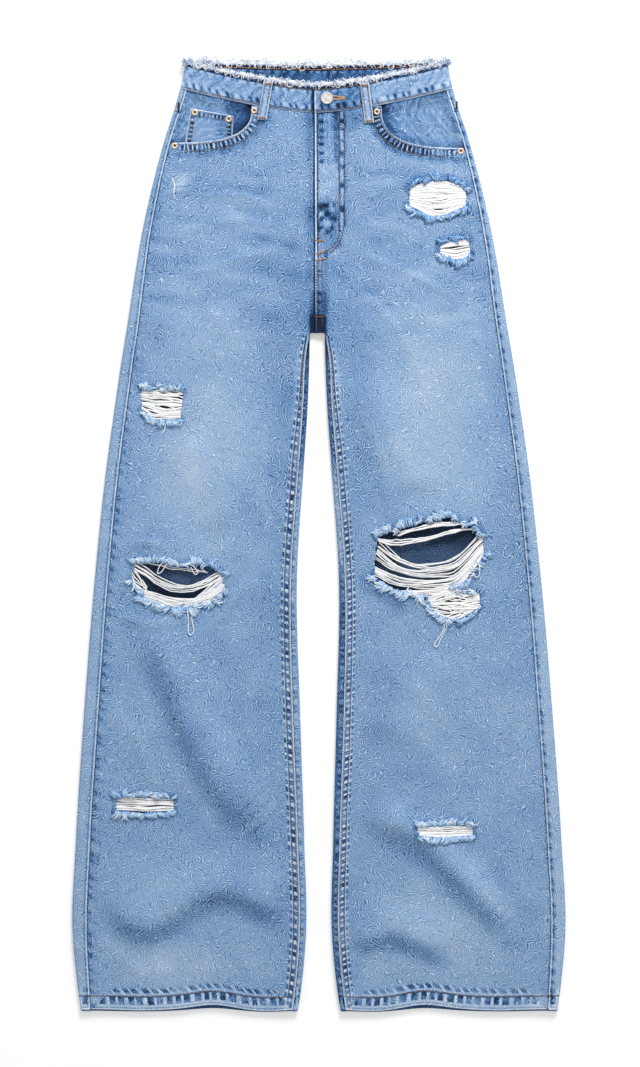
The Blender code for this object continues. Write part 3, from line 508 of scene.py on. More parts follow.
def denim(name, shift=0, curls=1, stops=DENIM_STOPS, marked=1, wisps=0.1):
    """Washed denim: tone, seam marks, curled slubs and twill, through one ramp of dye strengths.
    Slubs stand out most in half-washed cloth, and come and go in patches. Wisps are longer."""
    made, tree, shader = new_material(name, 0.85)
    marks = seam_marks(tree)
    tone = marks * marked + (attribute(tree, "tone") + shift)
    slubs = swirled_lines(tree, 138, 2.8, 55, 0.008)
    longer = swirled_lines(tree, 45, 3, 20, 0.02, 5)
    patchy = noise(tree, 16, 1, 0, 3).remap(0.35, 0.65, 0.85, 1.12)
    dyed = (tone * -1.3 + 1.25).math("MINIMUM", tone * 1.4 + 1.8).math("MAXIMUM", 0.3) * patchy
    fine = noise(tree, 700, 2, 0.3) - 0.5
    twill = Shade(node(tree, "ShaderNodeTexWave", {
        "Vector": object_place(tree), "Scale": 190, "Distortion": 0.6, "Detail": 1, "Detail Scale": 3},
        bands_direction="DIAGONAL").outputs["Fac"])
    tone = (longer * wisps + slubs) * dyed * (1.72 * curls) + tone + fine * (0.35 * curls)
    tone = tone + (noise(tree, 30) - 0.5) * 0.15 + twill * 0.06
    colour_by(tree, shader, tone * 0.5 + 0.5, stops)
    raise_by(tree, shader, fine + twill * 0.35 + marks * (1.4 * marked), 0.45, 0.0007)
    shader.inputs["Sheen Weight"].default_value = 0.06
    shader.inputs["Specular IOR Level"].default_value = 0.2
    return made


def yarn(name, stops, roughness=0.95):
    """Thread: tone picks the colour, and fine noise makes it uneven along its length."""
    made, tree, shader = new_material(name, roughness)
    tone = attribute(tree, "tone") + (noise(tree, 700) - 0.5) * 0.25
    colour_by(tree, shader, tone * 0.5 + 0.5, stops)
    shader.inputs["Specular IOR Level"].default_value = 0.15
    return made


denim_outside = denim("washed_denim")
# The insides are painted shade: dark inside the legs and behind the waistband's front, where the back of real
# denim is paler.
shaded_denim_inside = denim("shaded_denim_inside", shift=-0.42, curls=0.8, stops=SHADED_INSIDE_STOPS, marked=0.1)
band_denim = denim("band_denim", curls=0.66, wisps=0.6)
shaded_band_inside = denim("shaded_band_inside", shift=-0.62, curls=0.8)
cotton = yarn("white_cotton", ((0, (58, 86, 128)), (0.3, (146, 168, 202)), (0.55, (222, 228, 238)),
                               (0.8, (250, 250, 252)), (1, (255, 255, 255))))
blue_yarn = yarn("blue_yarn", ((0, (44, 92, 146)), (0.3, (98, 150, 206)), (0.55, (158, 198, 236)),
                               (0.8, (212, 230, 247)), (1, (252, 254, 255))))
sewing = yarn("sewing_thread", ((0, (44, 42, 48)), (0.3, (112, 88, 74)), (0.55, (168, 146, 128)),
                                (0.75, (206, 190, 174)), (1, (206, 140, 62))), 0.7)
WASHED = ([denim_outside, shaded_denim_inside], "denim_washed")
print("denim, cotton, blue yarn and sewing thread are mixed")

# %% [markdown]
# ## Meshes from arrays
# A sheet is a grid of points; a thread is a small tube along a path. Both go into Blender as whole
# arrays with foreach_set, which is thousands of times quicker than adding vertices one by one.
# A sheet gets its thickness from a Solidify modifier, so that it stays a real wall with an inside.


def area_of(points, keep=None):
    """Area in square metres: each cell as the length of the cross product of its diagonals, halved."""
    first = points[1:, 1:] - points[:-1, :-1]
    second = points[:-1, 1:] - points[1:, :-1]
    cells = np.linalg.norm(np.cross(first, second), axis=-1) / 2
    return float(cells.sum() if keep is None else cells[keep].sum())


def finish_piece(obj, materials, replaces=()):
    """Gives a piece its materials and body, and hides the nodes of the frame that it stands for."""
    for made in materials:
        obj.data.materials.append(made)
    bpy.context.scene.collection.objects.link(obj)
    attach(obj, "root")
    if replaces:
        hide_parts(*replaces)
    return obj


def mesh_from(name, verts, faces, numbers):
    """verts: N x 3 metres. faces: M x 4 indices. numbers: named values, one for each vertex."""
    mesh = bpy.data.meshes.new(name)
    mesh.vertices.add(len(verts))
    mesh.vertices.foreach_set("co", np.asarray(verts, np.float32).ravel())
    corners = faces.shape[1]
    mesh.loops.add(faces.size)
    mesh.loops.foreach_set("vertex_index", faces.astype(np.int32).ravel())
    mesh.polygons.add(len(faces))
    mesh.polygons.foreach_set("loop_start", np.arange(0, faces.size, corners, dtype=np.int32))
    mesh.update(calc_edges=True)
    mesh.polygons.foreach_set("use_smooth", np.ones(len(faces), bool))
    for key, values in numbers.items():
        made = mesh.attributes.new(key, "FLOAT", "POINT")
        made.data.foreach_set("value", np.asarray(values, np.float32).ravel())
    return bpy.data.objects.new(name, mesh)


def grid_faces(rows, columns):
    """Quads between neighbouring rows and columns of a grid."""
    index = np.arange(rows * columns).reshape(rows, columns)
    return np.stack([index[:-1, :-1], index[1:, :-1], index[1:, 1:], index[:-1, 1:]], -1)


def sheet(name, points, tone, thickness, materials, slot, replaces=(), keep=None, up=True, seams=()):
    """A grid of points as cloth. keep says which cells stay. The first cell's outer face looks up,
    or down where up is False, and the thickness goes inwards from there. seams is the edge, row and
    phase at each point, for the marks along its seams."""
    rows, columns = points.shape[:2]
    faces = grid_faces(rows, columns)
    normal = np.cross(points[1, 0] - points[0, 0], points[0, 1] - points[0, 0])
    faces = (faces if keep is None else faces[keep]).reshape(-1, 4)
    if (normal[2] > 0) != up:
        faces = faces[:, ::-1]
    used, compact = np.unique(faces, return_inverse=True)
    verts = points.reshape(-1, 3)[used]
    numbers = dict(zip(("tone", "edge", "row", "phase"), (tone, *(seams or (99, 99, 0)))))
    numbers = {key: np.broadcast_to(value, (rows, columns)).reshape(-1)[used]
               for key, value in numbers.items()}
    obj = mesh_from(name, verts, compact.reshape(-1, 4), numbers)
    shell = obj.modifiers.new("thickness", "SOLIDIFY")
    shell.thickness = thickness * MM
    shell.offset = -1
    shell.material_offset = 1 if len(materials) > 1 else 0
    area_of(points, keep)
    return finish_piece(obj, materials, replaces)


def strands(name, paths, radii, tone, material, slot, replaces=(), sides=4):
    """Many tubes at once. paths: threads x points x 3 in metres; radii and tone: threads x points,
    or anything that spreads to that. Each ring is a circle square to the path."""
    count, steps = paths.shape[:2]
    radii = np.broadcast_to(radii, (count, steps)) * MM
    tone = np.broadcast_to(tone, (count, steps))
    way = np.gradient(paths, axis=1)
    way /= np.linalg.norm(way, axis=2, keepdims=True) + 1e-12
    upright = np.abs(way[..., 2]).mean(1) > 0.8
    guide = np.where(upright[:, None, None], (1, 0, 0), (0, 0, 1))
    across = np.cross(way, np.broadcast_to(guide, way.shape))
    across /= np.linalg.norm(across, axis=2, keepdims=True) + 1e-12
    other = np.cross(across, way)
    turn = 2 * math.pi * np.arange(sides) / sides
    ring = across[:, :, None] * np.cos(turn)[:, None] + other[:, :, None] * np.sin(turn)[:, None]
    verts = paths[:, :, None] + ring * radii[:, :, None, None]
    index = np.arange(count * steps * sides).reshape(count, steps, sides)
    nxt = np.roll(index, -1, axis=2)
    faces = np.stack([index[:, :-1], nxt[:, :-1], nxt[:, 1:], index[:, 1:]], -1).reshape(-1, 4)
    if sides == 4:
        faces = np.concatenate([faces, index[:, 0, ::-1], index[:, -1]])
    obj = mesh_from(name, verts.reshape(-1, 3), faces, {"tone": np.repeat(tone[..., None], sides, 2)})
    return finish_piece(obj, [material], replaces)


print("builders ready")

# %% [markdown]
# ## Fine creases
# Wear sets sharp little creases beside the large folds: whiskers that fan out from the crotch over
# the hips, and pulled lines round the knees and hems. They're the same kind of crest as the folds,
# only narrow. A crease is low, so it changes the colour more than the shape: its crest is paler,
# partly rubbed and partly a painted highlight, and one side of it takes painted shade.

# %% Crease tables
CREASES = crests("""
    1.1 4 6: -45 176, -95 160, -140 163
    1.2 4 7: -40 196, -100 190, -165 206
    1.3 4.5 7: -36 222, -100 236, -170 262
    1.1 5 7: -30 252, -80 284, -120 330
    1 4 6: 48 172, 95 150, 130 147
    1.1 4 6: 44 196, 90 200, 120 214
    1.3 4.5 7: 38 226, 100 250, 165 282
    1.1 5 7: 32 262, 80 300, 112 352
    1.6 5 8: -236 575, -205 560, -160 572
    1.8 6 9: -236 640, -190 655, -130 640
    1.8 6 9: -60 600, -96 622, -130 668
    1.5 6 10: -56 700, -80 742, -84 800
    1 6 10: -244 745, -205 790, -185 850
    2 5 9: 46 606, 80 622, 110 640
    0.9 7 14: 60 700, 120 740, 200 850
    0.9 6 10: 196 610, 215 660, 210 730
    0.8 6 10: 45 830, 80 850, 100 905
    0.9 6 8: -255 1010, -222 1042, -190 1062
    0.8 6 8: -150 1000, -130 1030, -135 1066
    0.8 6 8: -60 1010, -48 1040, -60 1070
    0.9 6 8: 190 985, 206 1020, 198 1062
    0.8 6 8: 95 1010, 110 1040, 104 1068
    1.2 6 9: 40 395, 75 470, 88 540
    1.2 6 9: -40 380, -62 450, -70 540
""")


def unevenness(side, x, down):
    """Waves of 58, 23 and 9 mm that worn cloth has everywhere, up to a millimetre in all."""
    seed = 5 if side == "left" else 9
    return 0.55 * soft_noise(x, down, 58, seed) + 0.26 * soft_noise(x, down, 23, seed + 1) \
        + 0.1 * soft_noise(x, down, 9, seed + 2)


print(len(CREASES), "creases")

# %% [markdown]
# ## Seams that pucker
# Two rows of stitching shrink less than the cloth round them, so each seam draws up into small
# puckers. Washing rubs their tops pale and leaves the dye in their hollows: that is the ladder of
# pale and dark beside every seam of old jeans. One number for each point, the pucker, runs
# from -1 in a hollow to 1 on a ridge, and drives the height and the tone together.

# %% The pocket mouths
POCKET_MOUTHS = {"right": (-166, 41.5), "left": (168, 47.5)}
POCKET_MOUTH_TOP = 60
POCKET_MOUTH_EDGE = 74.5
POCKET_MOUTH_POWER = 2.8


def mouth_line(side, off=0):
    """The pocket mouth: a quarter of a superellipse, or the same line that far outside it."""
    centre, depth = POCKET_MOUTHS[side]
    turn = np.linspace(0, math.pi / 2, 240)
    reach = abs(centre) - POCKET_MOUTH_EDGE
    x = abs(centre) - (reach + off) * np.cos(turn) ** (2 / POCKET_MOUTH_POWER)
    down = POCKET_MOUTH_TOP + (depth + off) * np.sin(turn) ** (2 / POCKET_MOUTH_POWER)
    return np.stack([x * SIDES[side], down], 1)


def mouth_share(side, x, down):
    """Below 1 inside the pocket mouth, and above 1 where the front panel covers the facing."""
    centre, depth = POCKET_MOUTHS[side]
    across = np.clip((abs(centre) - np.abs(x)) / (abs(centre) - POCKET_MOUTH_EDGE), 0, 9)
    along = np.clip((down - POCKET_MOUTH_TOP) / depth, 0, 9)
    return across**POCKET_MOUTH_POWER + along**POCKET_MOUTH_POWER


def from_mouth(side, x, down):
    """How far outside the mouth's line each point lies (below 0 inside it), and how far along it,
    in millimetres, by the nearest of the line's points. 99 where the mouth is far away."""
    x, down = spread(x, down)
    off, along = np.full(x.shape, 99.0), np.zeros(x.shape)
    near = (x * SIDES[side] > 45) & (down < 150)
    line = mouth_line(side)[::2]
    length = np.concatenate([[0], np.cumsum(np.hypot(*np.diff(line, axis=0).T))])
    far = np.hypot(x[near][:, None] - line[:, 0], down[near][:, None] - line[:, 1])
    sign = np.where(mouth_share(side, x[near], down[near]) < 1, -1, 1)
    off[near] = sign * far.min(1)
    along[near] = length[far.argmin(1)]
    return off, along


# %% Puckers beside the seams
def window(value, start, stop, soft):
    """1 between start and stop, with soft ends."""
    return ease((value - start) / soft + 0.5) * (1 - ease((value - stop) / soft + 0.5))


INNER_ROW, INSEAM_ROW, HEM_ROW, MOUTH_ROW = 2.2, 8, 15.6, 10.4
NO_ROW = 40
PUCKERING = {"left": (20, 7.2), "right": (40, 9.4)}  # seed, and period along the inseam


def inseam_row(down):
    """How far the outer row of stitches lies from the inseam: close by at the crotch, and at its
    full distance from the middle of the thigh on."""
    return INSEAM_ROW - 4 * (1 - ease((down - 345) / 130))


def edges_of(side, x, down):
    """How far each point lies from the side seam, the inseam, the hem, the mouth and the fly."""
    wide = np.abs(x)
    to_side = side_seam(down) - SEAM_GAP - wide
    to_inseam = np.where(down > CROTCH_DOWN + 2, wide - inseam(down) - SEAM_GAP, 99)
    above_hem = FRONT_HEM_DOWN + hem_wave(x) - down
    off, along = from_mouth(side, x, down)
    to_fly = np.where((side == "left") & (down < CROTCH_DOWN), x - FLY_LAP_EDGE, 99)
    return to_side, to_inseam, above_hem, off, along, to_fly


def seam_numbers(side, x, down):
    """edge, row and phase of the nearest seam, for the denim's seam marks. Above the hem's stitches
    the puckers lean, the same way on both legs. Beside the other seams they end sooner."""
    seed, period = PUCKERING[side]
    to_side, to_inseam, above_hem, off, along, to_fly = edges_of(side, x, down)
    across = np.abs(x) - 0.1 * above_hem + 0.8 * SIDES[side] * np.maximum(above_hem - HEM_ROW, 0)
    past = lambda row, pace: np.where(row > 0, pace * row, row)
    choices = (
        (to_side, to_side + NO_ROW, 0 * x),
        (to_inseam - 0.5, past(to_inseam - inseam_row(down), 2.4),
         phase(down + 0.35 * to_inseam, period, seed + 1)),
        (above_hem, above_hem - HEM_ROW, phase(across, 10.8, seed + 2)),
        (np.where(off > -1.5, off, 99), past(off - MOUTH_ROW, 6), phase(along, 4.7, seed + 4)),
        (to_fly - 1, to_fly + NO_ROW, 0 * x),
    )
    nearest = np.argmin([np.broadcast_to(choice[0], x.shape) for choice in choices], 0)
    edge, row, count = (np.choose(nearest, [np.broadcast_to(choice[k], x.shape) for choice in choices])
                        for k in range(3))
    return np.where(nearest == 0, 20, edge), row, count


def puckers(side, x, down):
    """-1 in a hollow of a seam's puckers, 1 on a ridge, 0 away from the seams."""
    edge, row, count = seam_numbers(side, x, down)
    wave = -np.cos(2 * math.pi * count) * ease((edge - 2.4) / 1.5) * ease((-row - 0.4) / 1.5)
    total = wave - 0.5 * window(row, -1, 1, 1.2) - 0.4 * window(edge, 1.8, 3.2, 1.2)
    total = total + 0.6 * window(edge, -2, 1.2, 1) - outer_hollows(side, x, down)
    from_band = down - front_waist_seam(x)
    return total - 0.6 * window(from_band, -1, 0.9, 1)


def outer_hollows(side, x, down):
    """The dark spots that lie past the stitching: beside the side seam, inside the inseam rows, as
    and below the pocket mouths."""
    seed, period = PUCKERING[side]
    to_side, to_inseam, _, off, along, _ = edges_of(side, x, down)
    side_row = spots(down - 0.5 * to_side, 13.5, 2.9, seed)
    side_row = side_row * (0.3 + 0.7 * ease((down - 350) / 200)) * (0.2 if side == "left" else 1)
    total = side_row * (0.95 * window(to_side, 1, 5, 1.8) + 0.3 * window(to_side, 5, 11, 6))
    inner = spots(down + 0.35 * to_inseam, period, period * 0.3, seed + 1)
    total += 0.3 * inner * window(to_inseam, 9.2, 12.4, 2.4)
    total += 0.45 * spots(along + 3, 12, 3, seed + 5) * window(off, 11.6, 17, 5)
    return total


def creases(x, down):
    """The crease table as a height."""
    return fold_height(CREASES, x, down)


def cloth_level(side, x, down, fine=True):
    """Height of the finished cloth: the solid's level with unevenness, creases and puckers."""
    x, down = spread(x, down)
    level = front_level(side, x, down) + unevenness(side, x, down)
    if fine:
        inside = side_seam(down) - np.abs(x)
        level = level + creases(x, down) * ease(inside / 12) + 0.42 * puckers(side, x, down)
    return level


probe = puckers("left", np.array([262, 100]), np.array([900, 1085]))
print("puckers at the side seam and the hem:", probe.round(2))

# %% [markdown]
# ## Rips
# A rip is made by cutting across the cloth and washing it: the blue warp threads fall out and the
# white weft threads stay, strung from side to side. In the mesh a rip is a closed outline. Cells
# whose middle falls inside it are left out, and the corners along the hole move onto the outline,
# so that the edge runs smoothly instead of in steps.

# %% The rip table
def guide_table(text):
    """Pairs of lines in groups: a group's name, then rows of 'numbers: upper line | lower line'."""
    groups = {}
    for row in text.strip().splitlines():
        numbers, _, lines = row.partition(":")
        if lines:
            group.append((*map(rows_of, lines.split("|")), *map(float, numbers.split())))
        else:
            group = groups.setdefault(numbers.strip(), [])
    return groups


# centre x and down: the torn edges above and below it, about the centre, from the wearer's right
RIPS = {name: ((x, down), upper, lower) for name, [(upper, lower, x, down)] in guide_table("""
    thigh_right
    -178.8 400.8: -24 -17, 0 -16, 24 -13.5 | -23 9, -10 17, 5 20, 21 18
    knee_right
    -160.5 609.5: -51 -24, -32 -26, 2 -22, 42 -18, 50 -11 | -53 -6, -46 8, -30 19, 5 26, 31 22, 47 14, 53 4
    shin_right
    -199.4 862: -34 -8, 0 -9, 33 -7 | -33 6, -10 8.5, 15 8.5, 34 7
    hip_left
    139.3 166.2: -33 -11, -26 -16, -11 -19.5, 7 -21, 21 -17, 32 -10 | -33.5 8, -20 15.5, 0 20.5, 18 15.5, 32 7
    hip_left_small
    158.6 224.3: -17 -5, -8 -8.8, 15.5 -12 | -17 4, -11 8, 2 11.5, 12 9.2, 17 5
    knee_left
    129.5 575: -61 -21, -44 -28, -24 -33, 9 -41, 28 -41, 35 -34, 55 -31, 61 -20 \
        | -65 24, -48 36, -22 44, -5 46, 16 43, 34 33, 52 17, 61 -2
    knee_left_lower
    155.7 633.7: -31 -10, -15 -14, 2 -18, 12 -14, 30 -14 | -24 3, -15 11, 2 15, 20 9, 30 1
    shin_left
    145.8 892.7: -32 -5.3, -3 -6.8, 31 -6.1 | -31 4.4, -9 6.6, 13 6.1, 32 5.2""").items()}


def side_of(name):
    """The wearer's side that a name speaks of."""
    return "left" if "left" in name else "right"


def rip_line(name, which, count=90):
    """The upper edge (1) or the lower edge (2) of a rip, from the wearer's right to left, torn a
    little uneven."""
    points = np.array(RIPS[name][which], float) + RIPS[name][0]
    x = np.linspace(points[0, 0], points[-1, 0], count)
    start = points[0, 1]
    ragged = 1.1 * soft_noise(x, start, 4, 80 + which) + 0.5 * soft_noise(x, start, 1.7, 84 + which)
    return np.stack([x, through(points[:, 0], points[:, 1], x) + ragged], 1)


def rip_outline(name):
    """The upper edge and back along the lower one."""
    return np.concatenate([rip_line(name, 1), rip_line(name, 2)[::-1]])


def within(x, down, outline_points):
    """Even-odd rule: how many edges of the outline lie to the right of each point."""
    x0, y0 = outline_points.T
    x1, y1 = np.roll(outline_points, -1, 0).T
    passes = (y0 > down[..., None]) != (y1 > down[..., None])
    at = x0 + (down[..., None] - y0) / (y1 - y0 + 1e-9) * (x1 - x0)
    return (passes & (x[..., None] < at)).sum(-1) % 2 == 1


def snap(x, down, keep, line):
    """Moves each corner that kept and removed cells share almost onto the line."""
    kept, gone = np.zeros(x.shape, bool), np.zeros(x.shape, bool)
    for rows in (slice(None, -1), slice(1, None)):
        for columns in (slice(None, -1), slice(1, None)):
            kept[rows, columns] |= keep
            gone[rows, columns] |= ~keep
    border = kept & gone
    far = (x[border][:, None] - line[:, 0]) ** 2 + (down[border][:, None] - line[:, 1]) ** 2
    nearest, distance = far.argmin(1), np.sqrt(far.min(1))
    pull = np.where(distance < 3.5, 0.9, 0)
    x[border] += pull * (line[nearest, 0] - x[border])
    down[border] += pull * (line[nearest, 1] - down[border])


for rip in RIPS:
    print(rip, "is", round(float(np.ptp(rip_outline(rip)[:, 0]))), "mm wide")

# %% [markdown]
# ## Washing and painted shade
# Stone washing and hand sanding leave the middle of the thighs pale and the inner legs, the
# crotch and the seams dark. Each rubbed place is one soft oval added to the tone. Many of the
# ovals are painted shade instead: under the waistband seam and the loops, in the hollows of
# folds, round the pocket mouths and the fly, and at the crotch.

# %% Tone of the fronts
# centre x and down, half width, half length, tone
WASH_AND_SHADE_OVALS = rows_of("""
    126 380 66 100 0.28, 148 490 62 60 0.2, -125 440 75 150 0.24, -110 190 70 60 0.03, 120 190 60 60 0.1,
    150 760 110 110 0.13, -150 1030 110 60 0.2, 150 1010 110 80 0.27, -40 420 24 120 -0.16,
    42 420 22 120 -0.14, -50 640 22 80 -0.07, -210 420 22 150 -0.05, 222 420 20 150 -0.06,
    0 312 15 18 -0.3, 0 300 30 40 -0.12, -40 1000 22 70 -0.1, 44 1000 22 70 -0.1, -172 1008 50 12 -0.12,
    -66 992 44 14 -0.12, 96 1024 40 8 -0.12, 228 1022 24 12 -0.16, -84 902 34 12 -0.1, 86 450 50 60 0.08,
    120 290 52 24 0.1, -165 530 56 60 0.06, 20 150 12 30 -0.14, 4 202 12 30 -0.22, -190 172 12 30 -0.2,
    75 750 30 60 -0.06, -108 104 14 9 -0.3, -270 1094 22 12 0.3, 262 1094 22 12 0.3, -150 920 110 40 0.05,
    -57 74 8 9 -0.3, -10 76 7 10 -0.3, 50 74 8 9 -0.3, -10 106 6 14 -0.2, 14 98 6 10 -0.2,
    27 118 8 12 0.15, -22 253 12 12 -0.24, -26 222 10 9 -0.18, 14 243 8 8 -0.2, -8 182 8 10 -0.25,
    6 220 8 10 -0.25, 30 192 6 14 -0.12, -143 262 8 12 -0.12, -183 262 8 10 -0.1, -4 298 8 8 -0.2,
    -108 296 30 10 -0.06, -112 265 20 10 0.14, 62 170 25 14 0.08, 117 302 18 14 0.1, 142 270 16 16 0.1,
    78 250 14 14 0.1, 102 215 30 20 0.05, 72 188 12 7 -0.12, 167 250 20 8 -0.12, 191 276 12 24 -0.12,
    -158 192 14 6 -0.1, -130 1090 150 8 0.1, 130 1090 150 8 0.1, 190 980 60 60 -0.06
""")


# painted shade in the hollow beside each fold, and the dark lines between the whiskers over the hips; the
# height is how much darker it is
SHADES = crests("""
    0.22 12 17: -212 648, -190 700, -175 740, -160 780, -138 820, -112 860, -75 900, -48 918
    0.3 14 11: -250 965, -226 998, -195 1014, -165 1000, -125 972, -95 970, -62 988, -35 998
    0.13 9 9: -140 1008, -112 1028, -88 1050, -76 1068
    0.27 12 13: 40 888, 75 903, 105 915, 140 940, 171 970, 201 1001, 230 1036
    0.1 9 9: 196 912, 207 940, 230 970, 264 1006
    0.34 11 11: 36 1034, 62 1022, 84 1019, 108 1029, 128 1037, 158 1053
    0.26 8 14: 40 598, 75 618, 109 636
    0.08 20 20: 60 680, 75 740, 63 803
    0.1 9 16: 63 819, 130 836, 200 849
    0.12 8 16: 38 440, 66 486, 92 526
    0.1 14 14: -100 470, -82 512, -64 566
    0.1 6 6: -180 188, -110 196, -40 218
    0.09 7 7: -116 240, -64 248, -18 258
    0.08 7 7: 30 262, 80 276, 130 270
    0.08 9 9: 24 300, 70 330, 110 360
    0.12 5 5: -110 150, -78 152, -42 156
    0.14 5 5: -98 174, -74 180, -50 186
    0.18 5 5: -76 206, -50 213, -20 222
    0.18 5 6: 18 244, 26 254, 40 262
    0.12 5 5: 50 270, 68 276, 92 275
    0.14 8 8: -70 308, -54 300, -38 290
""")
# painted highlight on the crest beside each fold's shade, and the pale whiskers over the hips
LIGHTS = crests("""
    0.1 11 16: -186 660, -160 700, -136 740, -114 780, -92 820, -60 862, -34 898
    0.07 4 5: -228 660, -206 720, -188 770, -160 826, -124 878, -84 920
    0.08 15 15: -216 968, -180 954, -140 936, -90 932
    0.1 16 16: -235 1052, -170 1050, -110 1054
    0.08 8 8: 165 915, 177 940, 200 970, 233 1004
    0.06 30 30: -235 690, -225 780, -240 860
    0.14 17 17: -154 430, -140 490, -122 560
    0.07 6 6: -168 176, -110 178, -56 190
    0.07 6 6: -156 214, -96 220, -40 236
    0.1 9 9: 40 284, 90 296, 160 296
    0.14 5 6: -134 170, -108 178, -78 190
    0.12 6 6: -196 240, -150 245, -100 242, -58 245
    0.08 5 5: -136 140, -108 144, -70 138
""")


def wash_and_shade(x, down):
    """Soft ovals of wear and of painted shade: each fades as a bell from its centre."""
    total = np.zeros(np.broadcast(x, down).shape)
    for centre_x, centre_down, wide, long, tone in WASH_AND_SHADE_OVALS:
        total += tone * np.exp(-(((x - centre_x) / wide) ** 2) - ((down - centre_down) / long) ** 2)
    return total


FRONT_LOOPS = {
    "belt_loop_front_right": ((-55.4, 31.5), (-62.9, 75.5)),
    "belt_loop_front_left": ((54.8, 33), (60.5, 79)),
}
LOOP_WIDTH = 11


def loop_shade(x, down):
    """1 in the narrow shade beside and below each belt loop of the front."""
    total = np.zeros(np.broadcast(x, down).shape)
    for (x0, down0), (x1, down1) in FRONT_LOOPS.values():
        middle = x0 + (down - down0) / (down1 - down0) * (x1 - x0)
        beside = window(np.abs(x - middle) - LOOP_WIDTH / 2, -2, 1, 1.4)
        total += beside * window(down, down0, down1 + 1.4, 1.2)
    return total


def beside_rip(name, x, down):
    """1 in the shade of the curled ends along a rip, fading 7 mm away from its edges."""
    total = np.zeros(x.shape)
    near = (np.abs(x - RIPS[name][0][0]) < 90) & (np.abs(down - RIPS[name][0][1]) < 80)
    for which in (1, 2):
        line = rip_line(name, which)[::3]
        far = np.hypot(x[near][:, None] - line[:, 0], down[near][:, None] - line[:, 1]).min(1)
        total[near] = np.maximum(total[near], 1 - ease((far - 4) / 5))
    return total


# x from, to, down from, to, softness, tone: shades, rubbed streaks and patches over the zip
FLY_MARKS = rows_of("""
    -3.2 -0.8 66 318 0.9 0.55, 19.8 25.2 66 124 3 -0.45, 13.6 15.6 68 104 1.6 0.3, 3 24 126 164 8 0.2,
    7.5 11.5 66 128 3 0.12, -0.8 9 216 227 2 0.3, 9.2 11.8 226 234 1.4 -0.7, 26.8 31 66 196 1.4 0.28,
    31.8 36 66 190 4 -0.1, 0 46 62 88 9 -0.22, -1 12 272 298 4 -0.3, 26.8 31 75 79 1.8 -1,
    26.8 31 85 88 1.8 -0.9, 26.8 31 98 100 1.8 -0.8, 26.8 31 111 118 1.8 -1, 26.8 31 127 131 1.8 -0.9,
    26.8 31 147 153 1.8 -1, 26.8 31 173 181 1.8 -1, 0.4 5.2 247 250 1.4 -0.7, 0.4 5.2 253 256 1.4 -0.6,
    0.4 5.2 262 264 1.4 -0.4, 0.4 5.2 273 276 1.4 -0.7, 0.4 5.2 284 286 1.4 -0.5, 6.6 12 236 300 6 -0.2,
    25.2 27 66 205 1 -0.55, 30.8 32.6 66 196 1 -0.55
""")
# the same on the right front, where the left one throws its shade
LAP_MARKS = rows_of("""
    -4 3 60 262 0.8 -0.85, -4 3 262 300 0.8 -0.6, -10 -4 66 170 6 -0.18, -11.5 -4 170 262 7 -0.25,
    -8 3 272 298 4 -0.3
""")
# painted shade at the crotch, where the cloth curves under, with the darker unfaded dye there
CROTCH_BOX = (-8.2, 9.8, 300, 330, 3.5, -1.2)


def patches_of(marks, x, down):
    """Adds up rectangles with soft sides."""
    return sum(tone * window(x, x0, x1, soft) * window(down, down0, down1, soft)
               for x0, x1, down0, down1, soft, tone in marks)


def fly_tone(side, x, down):
    """Patches over the zip on the left front, and the shade of the lap on the right. Two are
    broken up: the row of short dark dashes beside the edge, and the mottled foot of the J."""
    box = patches_of((CROTCH_BOX,), x, down)
    if side == "right":
        return patches_of(LAP_MARKS, x, down) + box
    grain = soft_noise(x * 1.2 + 0.3 * down, down * 0.8, 4.2, 137)
    dashes = spots(down, 8.9, 2.2, 131) * window(x, 2.4, 8.6, 2.6) * window(down, 66, 127, 5)
    foot = window(down, 170, 206, 8) * window(x, 1.6, 23, 4) * (0.45 + 1.3 * grain)
    rungs = window(down, 207, 223, 4) * window(x, 15, 28, 3) * (0.2 + 0.9 * spots(x + down, 6, 1.6, 139))
    rows = spots(down, 4.4, 1.3, 138) * window(x, -0.4, 1.4, 0.8) * (down < 232)
    busy = window(x, 1, 34, 4) * window(down, 60, 210, 8)
    tone = patches_of(FLY_MARKS, x, down) + box + 0.16 * grain * busy
    return tone - 1.15 * dashes - 0.85 * foot - 0.6 * rungs - 0.6 * rows


